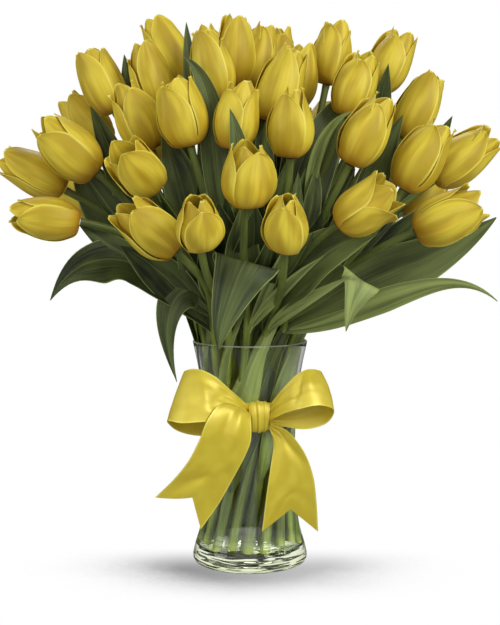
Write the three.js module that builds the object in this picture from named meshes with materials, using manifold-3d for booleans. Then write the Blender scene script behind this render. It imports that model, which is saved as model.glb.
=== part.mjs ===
// A bunch of yellow tulips standing in a flared glass vase, tied with a satin ribbon bow.
// Lengths are millimetres and angles are degrees unless a name says otherwise, with +Z up.
// The origin is the middle of the vase's underside, and the front of the bunch faces -Y.
import * as THREE from "three";
import { mergeVertices } from "three/addons/utils/BufferGeometryUtils.js";
import Module from "manifold-3d";

// Clearances between pieces that touch in life
const SEAT_GAP = 0.3;
const WATER_GAP = 0.45;

// Vase: outer outline as [height, radius], the wall, and the thick glass floor
const VASE_OUTLINE = [[0, 42], [4, 46], [12, 45], [30, 40], [62, 37], [105, 36.5], [152, 40.5], [180, 46]];
const VASE_WALL = 2.6;
const VASE_FLOOR = 10;
const VASE_SEGMENTS = 24;
const WATER_LEVEL = 120;

// Ribbon: a band round the vase, and in front of it a knot that holds two loops and two tails.
// Their points are across, up and depth, as they are seen from in front.
const RIBBON_WIDTH = 38;
const RIBBON_THICKNESS = 1;
const BAND_HEIGHTS = [114, 135];
const KNOT = {
  across: 7.6,
  up: 117.6,
  width: 16.4,
  height: 25,
  depth: 12,
  corner: 4,
  bevel: 2,
  back: -40.6,
};
const LOOP_STATIONS = [0, 0.12, 0.26, 0.4, 0.5, 0.6, 0.74, 0.88, 1];
const LOOP_ROOT_HALF = 7;
const LOOP_TILT = 0.35;
const LOOPS = {
  bow_loop_left: {
    points: [
      [-1.9, 119, -47.5],
      [-18, 130, -59],
      [-40, 135, -66],
      [-61, 130, -57],
      [-52, 121, -44],
      [-30, 118, -44],
      [-1.9, 117, -44.2],
    ],
    lean: 0.28,
  },
  bow_loop_right: {
    points: [
      [17.1, 119, -47.5],
      [32, 131, -58],
      [50, 137, -64],
      [65, 134, -56],
      [58, 124, -44],
      [40, 121, -44],
      [17.1, 117, -44.2],
    ],
    lean: -0.28,
  },
};
const TAIL_STATIONS = [0, 0.15, 0.35, 0.6, 0.8, 1];
const TAIL_NOTCH = 19;
const TAIL_ROOT_HALF = 5;
const TAIL_FULL_WIDTH = 0.4;
const TAILS = {
  bow_tail_left: [[-2.2, 119, -50.6], [-16, 112, -70], [-34, 76, -72], [-58, 40, -58]],
  bow_tail_right: [[13.2, 105.4, -49], [26, 92, -55], [31, 64, -54], [33, 30, -50]],
};

// Stems: they pass the vase's waist in rings and its rim further out, and lean round it one way
const STEM_RADIUS = 3.2;
const STEM_SIDES = 5;
const STEM_STEPS = 6;
const WAIST_HEIGHT = 122;
const RIM_HEIGHT = 180;
const RINGS = [
  { seats: 3, radius: 4.3 },
  { seats: 9, radius: 11 },
  { seats: 13, radius: 18.6 },
  { seats: 17, radius: 26 },
];
const TWIST_SLOPE = 0.22;
const SPREAD_SLOPE = 0.17;
const SEAT_LAG = 24;
const HUG = 0.55;
const LOWEST_FOOT = 12.5;
const FOOT_STAGGER = 7;
const OUTER_SECTORS = 8;
const STRAIGHT_KNOTS = 2;
const BEND_AT_RIM = 0.35;
const BEND_AT_BLOOM = 0.38;

// The viewpoint in front of the vase that across, up and depth below are measured from
const EYE_DISTANCE = 1022;
const EYE_HEIGHT = 293;

// Blooms: across, up and depth of the middle, lean to the right, nod to the front, length, girth,
// openness, and the turn round their own axis. Across and up lie in the upright plane through the
// vase's axis, and depth is the way behind it.
const BLOOMS = [
  [-172, 313, -24, -62, 5, 55, 32, 0.5, 35],
  [-164, 278, -62, -83, 8, 54, 32, 0.3, -25],
  [-145, 334, -48, -48, 8, 60, 38, 0.35, -25],
  [-131, 354, 28, -42, 0, 54, 33, 0.5, 20],
  [-118, 386, 4, -25, 0, 56, 34, 0.5, -42],
  [-90, 358, -48, -24, 6, 56, 34, 0.3, 38],
  [-79, 390, -12, -17, 0, 53, 31, 0.5, 30],
  [-90, 317, -80, -38, 32, 48, 35, 0.75, 4],
  [-81, 270, -110, -48, 14, 53, 34, 0.6, 10],
  [-41, 274, -146, -4, 34, 43, 32, 0.3, 34],
  [-54, 362, -78, -14, 8, 53, 37, 0.45, -36],
  [-66, 409, 26, -24, 0, 57, 33, 0.45, 30],
  [-30, 398, -42, -12, 0, 56, 32, 0.3, -30],
  [-32, 404, 52, -6, 0, 55, 31, 0.3, 22],
  [-12, 409, -6, 3, 0, 57, 31, 0.35, 6],
  [7, 406, 28, 14, 0, 57, 30, 0.25, -18],
  [22, 404, 62, 8, 0, 55, 30, 0.3, 12],
  [25, 383, -44, 19, 0, 60, 34, 0.35, -12],
  [38, 390, 0, 10, 0, 54, 30, 0.3, 35],
  [65, 408, 30, 11, 0, 54, 32, 0.4, -40],
  [33, 353, -90, 2, 8, 51, 33, 0.25, -28],
  [-10, 359, -84, 8, 4, 51, 32, 0.5, -45],
  [-1, 312, -130, 6, 20, 47, 38, 0.55, 42],
  [29, 274, -154, 2, 32, 45, 31, 0.3, -26],
  [84, 384, -38, 20, 0, 54, 32, 0.3, -20],
  [111, 401, 18, 24, 0, 54, 33, 0.5, -24],
  [93, 347, -82, 27, 6, 56, 34, 0.3, -16],
  [134, 366, -6, 27, 0, 57, 33, 0.35, -25],
  [137, 327, -66, 29, 4, 58, 36, 0.3, -30],
  [170, 326, -14, 52, 4, 62, 36, 0.4, -28],
  [93, 287, -116, 57, 14, 50, 35, 0.8, 55],
  [159, 279, -62, 66, 6, 57, 37, 0.6, 14],
  [-138, 298, 56, -50, -24, 56, 34, 0.4, 10],
  [-92, 270, 104, -42, -40, 56, 34, 0.4, -20],
  [-34, 290, 128, -10, -42, 56, 34, 0.35, 30],
  [28, 268, 132, 8, -48, 56, 34, 0.5, -35],
  [86, 286, 108, 36, -38, 56, 34, 0.4, 20],
  [138, 298, 60, 50, -24, 56, 34, 0.35, -10],
  [-72, 348, 86, -20, -24, 56, 34, 0.45, 40],
  [-8, 356, 96, -2, -26, 56, 34, 0.35, -30],
  [56, 348, 90, 16, -24, 56, 34, 0.3, 15],
  [104, 344, 56, 28, -12, 56, 34, 0.4, -25],
].map(([across, up, depth, lean, nod, ...form]) => {
  const [length, girth, open, turn] = form;
  return { across, up, depth, lean, nod, length, girth, open, turn };
});
const GOLDEN_SHARE = 0.618;

// Leaves: root, bend, reach and tip in across, up and depth, then width and the way the blade faces.
// Each root is drawn to the nearest stem.
const FRONT = [0, -1, 0];
const FRONT_UP = [0, -0.8, 0.6];
const BACK = [0, 1, 0];
const BACK_UP = [0, 0.8, 0.6];
const FACING_LEAVES = [
  [[-28, 190, -28], [-80, 250, -45], [-132, 268, -60], [-158, 212, -72], 46, FRONT_UP],
  [[-34, 188, -30], [-60, 225, -50], [-80, 245, -62], [-104, 256, -75], 30, FRONT],
  [[-45, 205, -10], [-90, 250, -14], [-125, 275, -22], [-146, 308, -28], 42, FRONT],
  [[-50, 200, -40], [-85, 240, -50], [-110, 255, -52], [-136, 272, -50], 22, FRONT],
  [[-30, 186, -22], [-50, 225, -40], [-76, 205, -52], [-59, 146, -50], 26, FRONT],
  [[36, 184, -30], [92, 214, -60], [156, 262, -70], [200, 208, -80], 40, FRONT_UP],
  [[34, 190, -10], [80, 232, -14], [140, 235, -18], [196, 278, -28], 44, FRONT],
  [[26, 214, -56], [44, 262, -66], [70, 275, -80], [97, 262, -92], 34, FRONT],
  [[50, 200, -5], [85, 225, 0], [120, 255, 0], [146, 292, -4], 38, FRONT],
  [[32, 230, -40], [44, 300, -46], [52, 402, -52], [82, 360, -60], 34, FRONT],
  [[78, 250, -30], [88, 290, -36], [104, 325, -42], [121, 359, -45], 24, FRONT],
  [[90, 300, 14], [97, 335, 12], [103, 370, 6], [109, 399, -4], 20, FRONT],
  [[112, 270, 4], [130, 300, 10], [147, 335, 12], [160, 358, 12], 18, FRONT],
  [[-14, 240, -30], [-30, 290, -36], [-38, 350, -32], [-53, 402, -22], 30, FRONT],
  [[-38, 330, 0], [-44, 360, 0], [-48, 400, 0], [-50, 431, 0], 14, FRONT],
  [[-40, 260, -50], [-48, 290, -56], [-58, 320, -58], [-70, 346, -56], 28, FRONT],
  [[-8, 280, -50], [-8, 310, -56], [-12, 340, -58], [-15, 363, -60], 18, FRONT],
  [[-80, 270, -10], [-96, 300, -18], [-112, 335, -22], [-126, 366, -24], 22, FRONT],
  [[-84, 330, 24], [-90, 355, 24], [-96, 385, 22], [-99, 406, 22], 16, FRONT],
  [[44, 240, -60], [48, 270, -68], [52, 300, -72], [53, 320, -74], 14, FRONT],
  [[30, 230, -70], [34, 260, -80], [38, 290, -86], [38, 314, -88], 12, FRONT],
  [[-4, 215, -55], [-8, 240, -72], [-6, 262, -84], [-6, 290, -86], 26, FRONT],
  [[-30, 196, 26], [-70, 230, 50], [-118, 270, 60], [-150, 214, 66], 42, BACK_UP],
  [[28, 192, 26], [70, 235, 60], [112, 262, 78], [140, 208, 90], 44, BACK_UP],
  [[-20, 220, 24], [-40, 280, 44], [-60, 330, 40], [-66, 372, 50], 30, BACK],
  [[-4, 220, 26], [-10, 270, 50], [20, 320, 60], [22, 352, 66], 30, BACK],
  [[36, 236, 30], [52, 270, 42], [75, 308, 50], [82, 327, 60], 30, BACK],
  [[30, 220, 14], [66, 260, 24], [104, 300, 26], [128, 330, 30], 30, BACK],
  [[-50, 246, 22], [-70, 268, 32], [-98, 300, 36], [-116, 330, 40], 30, BACK],
];
// Leaves that fold over, whose last entry is the way that the blade's width lies
const FOLDING_LEAVES = [
  [[2, 190, -34], [6, 262, -60], [-2, 282, -126], [-28, 168, -110], 48, [1, 0, 0]],
  [[30, 190, -40], [60, 240, -70], [102, 266, -104], [78, 186, -100], 36, [0.9, 0, -0.3]],
  [[-16, 192, 32], [-50, 240, 76], [-84, 262, 120], [-96, 200, 132], 44, [0.8, 0.6, 0]],
  [[-4, 192, 36], [-8, 240, 90], [-16, 262, 140], [-14, 190, 146], 44, [1, 0, 0]],
  [[22, 192, 30], [50, 235, 70], [78, 262, 112], [86, 204, 124], 44, [1, -0.4, 0]],
];
const LEAF_STATIONS = [0, 0.18, 0.4, 0.64, 0.85, 1];
const LEAF_THICKNESS = 1.2;
const LEAF_CUP = 0.22;
const LEAF_NECK = 0.2;
const LEAF_WIDEST = 0.45;
const LEAF_TAPER = 1.8;
const LOWEST_LEAF_ROOT = 126;
const ROOT_CHOICES = 36;

// Petals: three outer ones, joined edge to edge up to the belly, and three inner ones a sixth of a
// turn round. Their radius and reach are shares of the bloom's.
const OUTER_PETALS = { first: -90, reach: 1, inset: 1, root: 3, stations: [0, 0.25, 0.5, 0.8, 1] };
const INNER_PETALS = { first: -30, reach: 0.96, inset: 0.68, root: 0.8, stations: [0, 0.5, 1] };
const PETALS_A_WHORL = 3;
const PETAL_THICKNESS = 1.2;
const PETAL_HALF_TURN = 56;
const JOINED_ROWS = 3;
const SEAM_CREASE = 0.93;
const BELLY = 0.42;
const BELLY_RISE = 0.34;
const CLOSING_EARLY = 1.6;
const CLOSING_LATE = 0.6;
const PETAL_FOOT_WIDTH = 0.3;
const PETAL_TAPER = 2.6;
const TIGHTEST_CURL = 0.55;

function clear(color, opacity) {
  const finish = { color, roughness: 0.05, metalness: 0, transparent: true, opacity };
  return new THREE.MeshStandardMaterial(finish);
}

function matt(color, roughness) {
  return new THREE.MeshStandardMaterial({ color, roughness, metalness: 0 });
}

const GLASS = clear(0xe6efe9, 0.35);
const WATER = clear(0xdfe9dc, 0.4);
const PETAL = matt(0xd9bd2c, 0.5);
const GREEN = matt(0x55693a, 0.55);
const SATIN = matt(0xdcc83c, 0.35);

// Lengths under which two corners are one, and the step that a surface's slope is taken over
const SAME_CORNER = 1e-3;
const SLOPE_STEP = 1e-3;

const wasm = await Module();
wasm.setup();

const radians = THREE.MathUtils.degToRad;
const fraction = (value) => value - Math.floor(value);
const vec = (x, y, z) => new THREE.Vector3(x, y, z);

// A closed three.js geometry as a manifold-3d solid.
function solidOf(geometry) {
  const bare = geometry.clone();
  bare.deleteAttribute("normal");
  bare.deleteAttribute("uv");
  const merged = mergeVertices(bare, SAME_CORNER);
  const corners = merged.index.array;
  const kept = [];
  for (let i = 0; i < corners.length; i += 3) {
    const [a, b, c] = corners.slice(i, i + 3);
    if (a !== b && b !== c && c !== a) kept.push(a, b, c);
  }
  return new wasm.Manifold(
    new wasm.Mesh({
      numProp: 3,
      vertProperties: new Float32Array(merged.attributes.position.array),
      triVerts: new Uint32Array(kept),
    }),
  );
}

// A manifold-3d solid as a three.js geometry.
function geometryOf(solid) {
  const mesh = solid.getMesh();
  return new THREE.BufferGeometry()
    .setAttribute("position", new THREE.BufferAttribute(mesh.vertProperties, 3))
    .setIndex(new THREE.BufferAttribute(mesh.triVerts, 1));
}

// A solid without the loose scraps that a cut leaves.
function largestBody(solid) {
  return solid.decompose().reduce((largest, body) => (body.volume() > largest.volume() ? body : largest));
}

function joined(solids) {
  return solids.reduce((whole, next) => whole.add(next));
}

// A half thickness that falls to nothing at a blade's sides and tip.
function sharpEdged(thickness) {
  return (s, t) => (Math.abs(t) === 1 || s === 1 ? 0 : thickness / 2);
}

// Triangles given corner by corner as one flat list of coordinates.
function cornersGeometry(positions) {
  const geometry = new THREE.BufferGeometry();
  geometry.setAttribute("position", new THREE.Float32BufferAttribute(positions, 3));
  geometry.setIndex([...Array(positions.length / 3).keys()]);
  return geometry;
}

// A thin closed sheet: point(s, t) gives its middle surface for s in 0..1 and t in -1..1,
// and half(s, t) its half thickness there, which may fall to nothing at a sharp edge.
function sheet(point, half, stations, columns) {
  const faces = [[], []];
  for (const s of stations) {
    const rows = [[], []];
    for (const t of columns) {
      const middle = point(s, t);
      const s1 = Math.min(s + SLOPE_STEP, 1);
      const t1 = Math.min(t + SLOPE_STEP, 1);
      const along = point(s1, t).sub(point(s1 - SLOPE_STEP, t));
      const across = point(s, t1).sub(point(s, t1 - SLOPE_STEP));
      const normal = along.cross(across);
      if (normal.lengthSq() > 0) normal.normalize();
      rows[0].push(middle.clone().addScaledVector(normal, half(s, t)));
      rows[1].push(middle.clone().addScaledVector(normal, -half(s, t)));
    }
    faces[0].push(rows[0]);
    faces[1].push(rows[1]);
  }
  const positions = [];
  const triangle = (a, b, c) => positions.push(...a.toArray(), ...b.toArray(), ...c.toArray());
  const quad = (a, b, c, d) => {
    triangle(a, b, c);
    triangle(a, c, d);
  };
  const [top, under] = faces;
  const lastRow = stations.length - 1;
  const lastColumn = columns.length - 1;
  for (let i = 0; i < lastRow; i++) {
    for (let j = 0; j < lastColumn; j++) {
      quad(top[i][j], top[i + 1][j], top[i + 1][j + 1], top[i][j + 1]);
      triangle(under[i][j], under[i + 1][j + 1], under[i + 1][j]);
      triangle(under[i][j], under[i][j + 1], under[i + 1][j + 1]);
    }
    quad(top[i][0], under[i][0], under[i + 1][0], top[i + 1][0]);
    quad(under[i][lastColumn], top[i][lastColumn], top[i + 1][lastColumn], under[i + 1][lastColumn]);
  }
  for (let j = 0; j < lastColumn; j++) {
    quad(under[0][j], top[0][j], top[0][j + 1], under[0][j + 1]);
    quad(top[lastRow][j], under[lastRow][j], under[lastRow][j + 1], top[lastRow][j + 1]);
  }
  return solidOf(cornersGeometry(positions));
}

// The vase's outer radius at a height.
function vaseRadius(height) {
  const above = Math.max(1, VASE_OUTLINE.findIndex(([z]) => z >= height));
  const [z0, r0] = VASE_OUTLINE[above - 1];
  const [z1, r1] = VASE_OUTLINE[above];
  return r0 + ((r1 - r0) * (height - z0)) / (z1 - z0);
}

function lathe(outline) {
  return solidOf(new THREE.LatheGeometry(outline, VASE_SEGMENTS).rotateX(Math.PI / 2));
}

// The vase's hollow, from its floor to a height, drawn in by a gap.
function hollowOutline(gap, top) {
  const between = VASE_OUTLINE.map(([z]) => z).filter((z) => z > VASE_FLOOR && z < top);
  const bottom = VASE_FLOOR + gap;
  const wall = [bottom, ...between, top].map((z) => new THREE.Vector2(vaseRadius(z) - VASE_WALL - gap, z));
  return [new THREE.Vector2(0, bottom), ...wall, new THREE.Vector2(0, top)];
}

function makeVase() {
  const outside = VASE_OUTLINE.map(([z, r]) => new THREE.Vector2(r, z));
  const top = VASE_OUTLINE.at(-1)[0];
  const inside = hollowOutline(0, top).slice(0, -1).reverse();
  return lathe([new THREE.Vector2(0, 0), ...outside, ...inside]);
}

function makeBand() {
  const [low, high] = BAND_HEIGHTS;
  const inside = (z) => new THREE.Vector2(vaseRadius(z) + SEAT_GAP, z);
  const outside = (z) => new THREE.Vector2(vaseRadius(z) + SEAT_GAP + RIBBON_THICKNESS, z);
  return lathe([inside(low), outside(low), outside(high), inside(high), inside(low)]);
}

function makeKnot() {
  const { across, up, width, height, depth, corner, bevel, back } = KNOT;
  const outline = new THREE.Shape();
  const right = width / 2 - bevel;
  const top = height / 2 - bevel;
  const corners = [
    [right, top - corner],
    [right - corner, top],
    [corner - right, top],
    [-right, top - corner],
  ];
  corners.push(...corners.map(([x, y]) => [-x, -y]));
  corners.forEach(([x, y], index) => (index ? outline.lineTo(x, y) : outline.moveTo(x, y)));
  const body = { depth: depth - 2 * bevel, bevelThickness: bevel, bevelSize: bevel, bevelSegments: 1 };
  const geometry = new THREE.ExtrudeGeometry(outline, body).rotateX(Math.PI / 2);
  const middle = placed(across, up, back - depth / 2);
  return solidOf(geometry.translate(middle.x, back - bevel, middle.z));
}

// A bow loop: the ribbon leaves the knot's side in front, turns round, and comes back to it behind.
function makeLoop({ points, lean }) {
  const line = new THREE.CatmullRomCurve3(points.map((point) => placed(...point)));
  const surface = (s, t) => {
    const opening = Math.sqrt(Math.sin(Math.PI * s));
    const half = LOOP_ROOT_HALF + (RIBBON_WIDTH / 2 - LOOP_ROOT_HALF) * opening;
    const widthway = vec(lean * opening, LOOP_TILT * opening, 1).normalize();
    return line.getPoint(s).addScaledVector(widthway, t * half);
  };
  return sheet(surface, () => RIBBON_THICKNESS / 2, LOOP_STATIONS, [-1, 1]);
}

// A bow tail: it widens from the knot to the ribbon's full width and ends in a swallowtail.
function makeTail(points) {
  const line = new THREE.CatmullRomCurve3(points.map((point) => placed(...point)));
  const surface = (s, t) => {
    const heading = line.getTangent(s);
    const side = heading.clone().cross(vec(0, -1, 0)).normalize();
    const opening = Math.sin((Math.PI / 2) * Math.min(1, s / TAIL_FULL_WIDTH));
    const half = TAIL_ROOT_HALF + (RIBBON_WIDTH / 2 - TAIL_ROOT_HALF) * opening;
    const cut = s === 1 ? TAIL_NOTCH * (1 - Math.abs(t)) : 0;
    return line.getPoint(s).addScaledVector(side, t * half).addScaledVector(heading, -cut);
  };
  return sheet(surface, () => RIBBON_THICKNESS / 2, TAIL_STATIONS, [-1, 0, 1]);
}

// The point that is seen at across and up in the upright plane through the vase's axis, at a depth.
function placed(across, up, depth) {
  const nearness = 1 + depth / EYE_DISTANCE;
  return vec(across * nearness, depth, EYE_HEIGHT + (up - EYE_HEIGHT) * nearness);
}

// A bloom's place and the three directions of its own frame, z along its axis.
function bloomFrame(bloom) {
  const middle = placed(bloom.across, bloom.up, bloom.depth);
  const lean = radians(bloom.lean);
  const nod = radians(bloom.nod);
  const axis = vec(Math.sin(lean) * Math.cos(nod), -Math.sin(nod), Math.cos(lean) * Math.cos(nod));
  const back = vec(0, 1, 0).addScaledVector(axis, -axis.y).normalize();
  const side = back.clone().cross(axis);
  const base = middle.clone().addScaledVector(axis, -bloom.length / 2);
  return { base, axis, basis: new THREE.Matrix4().makeBasis(side, back, axis) };
}

// Gives each bloom's stem a seat at the waist: the steepest blooms take the inner rings,
// and each ring is filled in order of azimuth.
function seatStems(frames) {
  const waist = vec(0, 0, WAIST_HEIGHT);
  const order = frames
    .map((frame, index) => {
      const away = frame.base.clone().sub(waist);
      return { index, azimuth: Math.atan2(away.y, away.x), slope: Math.hypot(away.x, away.y) / away.z };
    })
    .sort((a, b) => a.slope - b.slope);
  const seats = [];
  let taken = 0;
  RINGS.forEach(({ seats: count, radius }, ring) => {
    const members = order.slice(taken, taken + count).sort((a, b) => a.azimuth - b.azimuth);
    taken += count;
    const step = (2 * Math.PI) / count;
    let cosines = 0;
    let sines = 0;
    members.forEach(({ azimuth }, place) => {
      cosines += Math.cos(azimuth - place * step);
      sines += Math.sin(azimuth - place * step);
    });
    const turn = Math.atan2(sines, cosines) - radians(SEAT_LAG);
    members.forEach(({ index }, place) => {
      const angle = turn + place * step;
      seats[index] = { ring, angle, x: radius * Math.cos(angle), y: radius * Math.sin(angle) };
    });
  });
  return seats;
}

// The bunch that a seat belongs to: a sector of the two outer rings, or a half of the inner ones.
function bunchOf({ ring, angle }) {
  const share = fraction(angle / (2 * Math.PI));
  return ring > 1 ? `outer_${Math.floor(share * OUTER_SECTORS) + 1}` : `inner_${Math.floor(share * 2) + 1}`;
}

// Draws the seats of each bunch together at the waist, where the ribbon holds them.
function hugSeats(seats) {
  const bunches = new Map();
  seats.forEach((seat, index) => {
    const name = bunchOf(seat);
    if (!bunches.has(name)) bunches.set(name, []);
    bunches.get(name).push(index);
  });
  for (const members of bunches.values()) {
    const middleX = members.reduce((sum, index) => sum + seats[index].x, 0) / members.length;
    const middleY = members.reduce((sum, index) => sum + seats[index].y, 0) / members.length;
    for (const index of members) {
      const seat = seats[index];
      seat.held = vec(middleX + (seat.x - middleX) * HUG, middleY + (seat.y - middleY) * HUG, WAIST_HEIGHT);
    }
  }
  return bunches;
}

// A stem's centre line: straight from foot to waist and from waist to rim, then curved into the
// bloom's axis. It is stepped by its own parameter, one step for each straight stretch.
class StemCurve extends THREE.Curve {
  constructor(foot, waist, rim, end, axis) {
    super();
    this.knots = [foot, waist, rim];
    const span = end.distanceTo(rim);
    const rising = rim.clone().sub(waist).normalize();
    const outgoing = rim.clone().addScaledVector(rising, span * BEND_AT_RIM);
    const incoming = end.clone().addScaledVector(axis, -span * BEND_AT_BLOOM);
    this.bend = new THREE.CubicBezierCurve3(rim, outgoing, incoming, end);
  }

  getPoint(t) {
    const place = t * STEM_STEPS;
    if (place >= STRAIGHT_KNOTS) {
      return this.bend.getPoint((place - STRAIGHT_KNOTS) / (STEM_STEPS - STRAIGHT_KNOTS));
    }
    const lower = Math.floor(place);
    return this.knots[lower].clone().lerp(this.knots[lower + 1], place - lower);
  }

  getPointAt(u) {
    return this.getPoint(u);
  }

  getTangentAt(u) {
    return this.getTangent(u);
  }
}

function stemCurve(seat, frame, index) {
  const foot = LOWEST_FOOT + FOOT_STAGGER * fraction(index * GOLDEN_SHARE);
  const outermost = RINGS.at(-1).radius;
  const twist = TWIST_SLOPE / outermost;
  const spread = SPREAD_SLOPE / outermost;
  const below = (WAIST_HEIGHT - foot) * twist;
  const above = RIM_HEIGHT - WAIST_HEIGHT;
  const start = vec(seat.x + seat.y * below, seat.y - seat.x * below, foot);
  const rimX = seat.x + above * (seat.x * spread - seat.y * twist);
  const rimY = seat.y + above * (seat.y * spread + seat.x * twist);
  const end = frame.base.clone().addScaledVector(frame.axis, -SEAT_GAP);
  return new StemCurve(start, seat.held, vec(rimX, rimY, RIM_HEIGHT), end, frame.axis);
}

function stemSolid(path, radius) {
  const section = new THREE.Shape();
  for (let side = 0; side < STEM_SIDES; side++) {
    const angle = (2 * Math.PI * side) / STEM_SIDES;
    const corner = [radius * Math.cos(angle), radius * Math.sin(angle)];
    if (side) section.lineTo(...corner);
    else section.moveTo(...corner);
  }
  return solidOf(new THREE.ExtrudeGeometry(section, { steps: STEM_STEPS, extrudePath: path }));
}

// How far out and how high a whorl's petals are at a share s of their length.
function petalProfile(bloom, whorl, s) {
  const rise = Math.min(s / BELLY, 1) * (Math.PI / 2);
  const past = Math.max(s - BELLY, 0) / (1 - BELLY);
  const closing = 1 - (1 - bloom.open) * past * past * (CLOSING_EARLY - CLOSING_LATE * past);
  const belly = (bloom.girth / 2) * whorl.inset;
  const foot = PETAL_THICKNESS / 2;
  const share = BELLY_RISE * (1 - Math.cos(rise)) + (1 - BELLY_RISE) * past;
  const radius = (whorl.root + (belly - whorl.root) * Math.sin(rise)) * closing;
  const swelling = PETAL_FOOT_WIDTH + (1 - PETAL_FOOT_WIDTH) * Math.sin(rise);
  const width = belly * swelling * (1 - Math.pow(past, PETAL_TAPER));
  const turn = Math.min(width / Math.max(radius, belly * TIGHTEST_CURL), radians(PETAL_HALF_TURN));
  return { radius, turn, height: foot + (bloom.length * whorl.reach - foot) * share };
}

// One petal's middle surface, in the bloom's own frame.
function petalPoint(bloom, whorl, azimuth, s, t) {
  const { radius, turn, height } = petalProfile(bloom, whorl, s);
  const angle = radians(azimuth) + t * turn;
  return vec(radius * Math.cos(angle), radius * Math.sin(angle), height);
}

// The outer petals as one closed skin: a cup up to the belly and three free tips above it.
function outerWhorl(bloom) {
  const { stations, first } = OUTER_PETALS;
  const rows = stations.map((s, row) => {
    const here = petalProfile(bloom, OUTER_PETALS, s);
    const onward = s < 1 ? 1 : -1;
    const near = petalProfile(bloom, OUTER_PETALS, s + SLOPE_STEP * onward);
    const along = vec(near.radius - here.radius, 0, near.height - here.height);
    along.multiplyScalar(onward).normalize();
    const outward = vec(along.z, 0, -along.x).multiplyScalar(PETAL_THICKNESS / 2);
    const point = (angle, face, crease) => {
      const radius = here.radius * crease + face * outward.x;
      return vec(radius * Math.cos(angle), radius * Math.sin(angle), here.height + face * outward.z);
    };
    const free = row >= JOINED_ROWS;
    const turn = free ? here.turn : Math.PI / PETALS_A_WHORL;
    const middleFace = row === stations.length - 1 ? 0 : 1;
    return (azimuth, face) => [
      point(azimuth - turn, free ? 0 : face, free ? 1 : SEAM_CREASE),
      point(azimuth, face * middleFace, 1),
      point(azimuth + turn, free ? 0 : face, free ? 1 : SEAM_CREASE),
    ];
  });
  const positions = [];
  const triangle = (...corners) => corners.forEach((corner) => positions.push(...corner.toArray()));
  const outerFoot = [];
  const innerFoot = [];
  for (let petal = 0; petal < PETALS_A_WHORL; petal++) {
    const azimuth = radians(first) + (2 * Math.PI * petal) / PETALS_A_WHORL;
    const outer = rows.map((row) => row(azimuth, 1));
    const inner = rows.map((row) => row(azimuth, -1));
    for (let row = 0; row < rows.length - 1; row++) {
      for (const [a, b] of [[0, 1], [2, 1]]) {
        const turned = a > b;
        for (const [skin, flip] of [[outer, turned], [inner, !turned]]) {
          const [left, right] = flip ? [b, a] : [a, b];
          const shared = skin[row + 1][right];
          triangle(skin[row][left], skin[row][right], shared);
          triangle(skin[row][left], shared, skin[row + 1][left]);
        }
      }
    }
    const seam = JOINED_ROWS - 1;
    triangle(outer[seam][0], outer[seam + 1][0], inner[seam][0]);
    triangle(inner[seam][2], outer[seam + 1][2], outer[seam][2]);
    outerFoot.push(outer[0][0], outer[0][1]);
    innerFoot.push(inner[0][0], inner[0][1]);
  }
  for (let corner = 1; corner < outerFoot.length - 1; corner++) {
    triangle(outerFoot[0], outerFoot[corner + 1], outerFoot[corner]);
    triangle(innerFoot[0], innerFoot[corner], innerFoot[corner + 1]);
  }
  return solidOf(cornersGeometry(positions));
}

function bloomSolid(bloom) {
  const solids = [outerWhorl(bloom)];
  for (let petal = 0; petal < PETALS_A_WHORL; petal++) {
    const azimuth = INNER_PETALS.first + (360 / PETALS_A_WHORL) * petal;
    const surface = (s, t) => petalPoint(bloom, INNER_PETALS, azimuth, s, t);
    solids.push(sheet(surface, sharpEdged(PETAL_THICKNESS), INNER_PETALS.stations, [-1, 0, 1]));
  }
  return joined(solids);
}

// The point on any stem that lies nearest to a leaf's wanted root, and that stem's index.
function nearestStem(wanted, curves) {
  let best = { gap: Infinity };
  curves.forEach((curve, index) => {
    for (const point of curve.getPoints(ROOT_CHOICES)) {
      const gap = point.distanceTo(wanted);
      if (point.z >= LOWEST_LEAF_ROOT && gap < best.gap) best = { gap, point, index };
    }
  });
  return best;
}

function leafSolid({ bend, reach, tip, width, face, lie }, root) {
  const spine = new THREE.CubicBezierCurve3(root, placed(...bend), placed(...reach), placed(...tip));
  const surface = (s, t) => {
    const heading = spine.getTangent(s);
    const side = lie ? vec(...lie) : heading.clone().cross(vec(...face));
    side.addScaledVector(heading, -side.dot(heading)).normalize();
    const swelling = Math.sin((Math.PI / 2) * Math.min(1, s / LEAF_WIDEST));
    const taper = 1 - Math.pow(Math.max(0, (s - LEAF_WIDEST) / (1 - LEAF_WIDEST)), LEAF_TAPER);
    const half = (width / 2) * (LEAF_NECK + (1 - LEAF_NECK) * swelling) * taper;
    const hollow = side.clone().cross(heading);
    const edge = spine.getPoint(s).addScaledVector(side, t * half);
    return edge.addScaledVector(hollow, LEAF_CUP * half * t * t);
  };
  return sheet(surface, sharpEdged(LEAF_THICKNESS), LEAF_STATIONS, [-1, 0, 1]);
}

const bouquet = new THREE.Group();
bouquet.name = "tulips_in_vase";

function addPiece(name, geometry, material) {
  const mesh = new THREE.Mesh(geometry, material);
  mesh.name = name;
  bouquet.add(mesh);
  return mesh;
}

const frames = BLOOMS.map(bloomFrame);
const seats = seatStems(frames);
const bunches = hugSeats(seats);
const curves = seats.map((seat, index) => stemCurve(seat, frames[index], index));

addPiece("vase", geometryOf(makeVase()), GLASS);
const stemHoles = joined(curves.map((curve) => stemSolid(curve, STEM_RADIUS + WATER_GAP)));
const water = lathe(hollowOutline(SEAT_GAP, WATER_LEVEL)).subtract(stemHoles);
addPiece("water", geometryOf(largestBody(water)), WATER);

addPiece("ribbon_band", geometryOf(makeBand()), SATIN);
addPiece("ribbon_knot", geometryOf(makeKnot()), SATIN);
for (const [name, loop] of Object.entries(LOOPS)) addPiece(name, geometryOf(makeLoop(loop)), SATIN);
for (const [name, tail] of Object.entries(TAILS)) addPiece(name, geometryOf(makeTail(tail)), SATIN);

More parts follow.
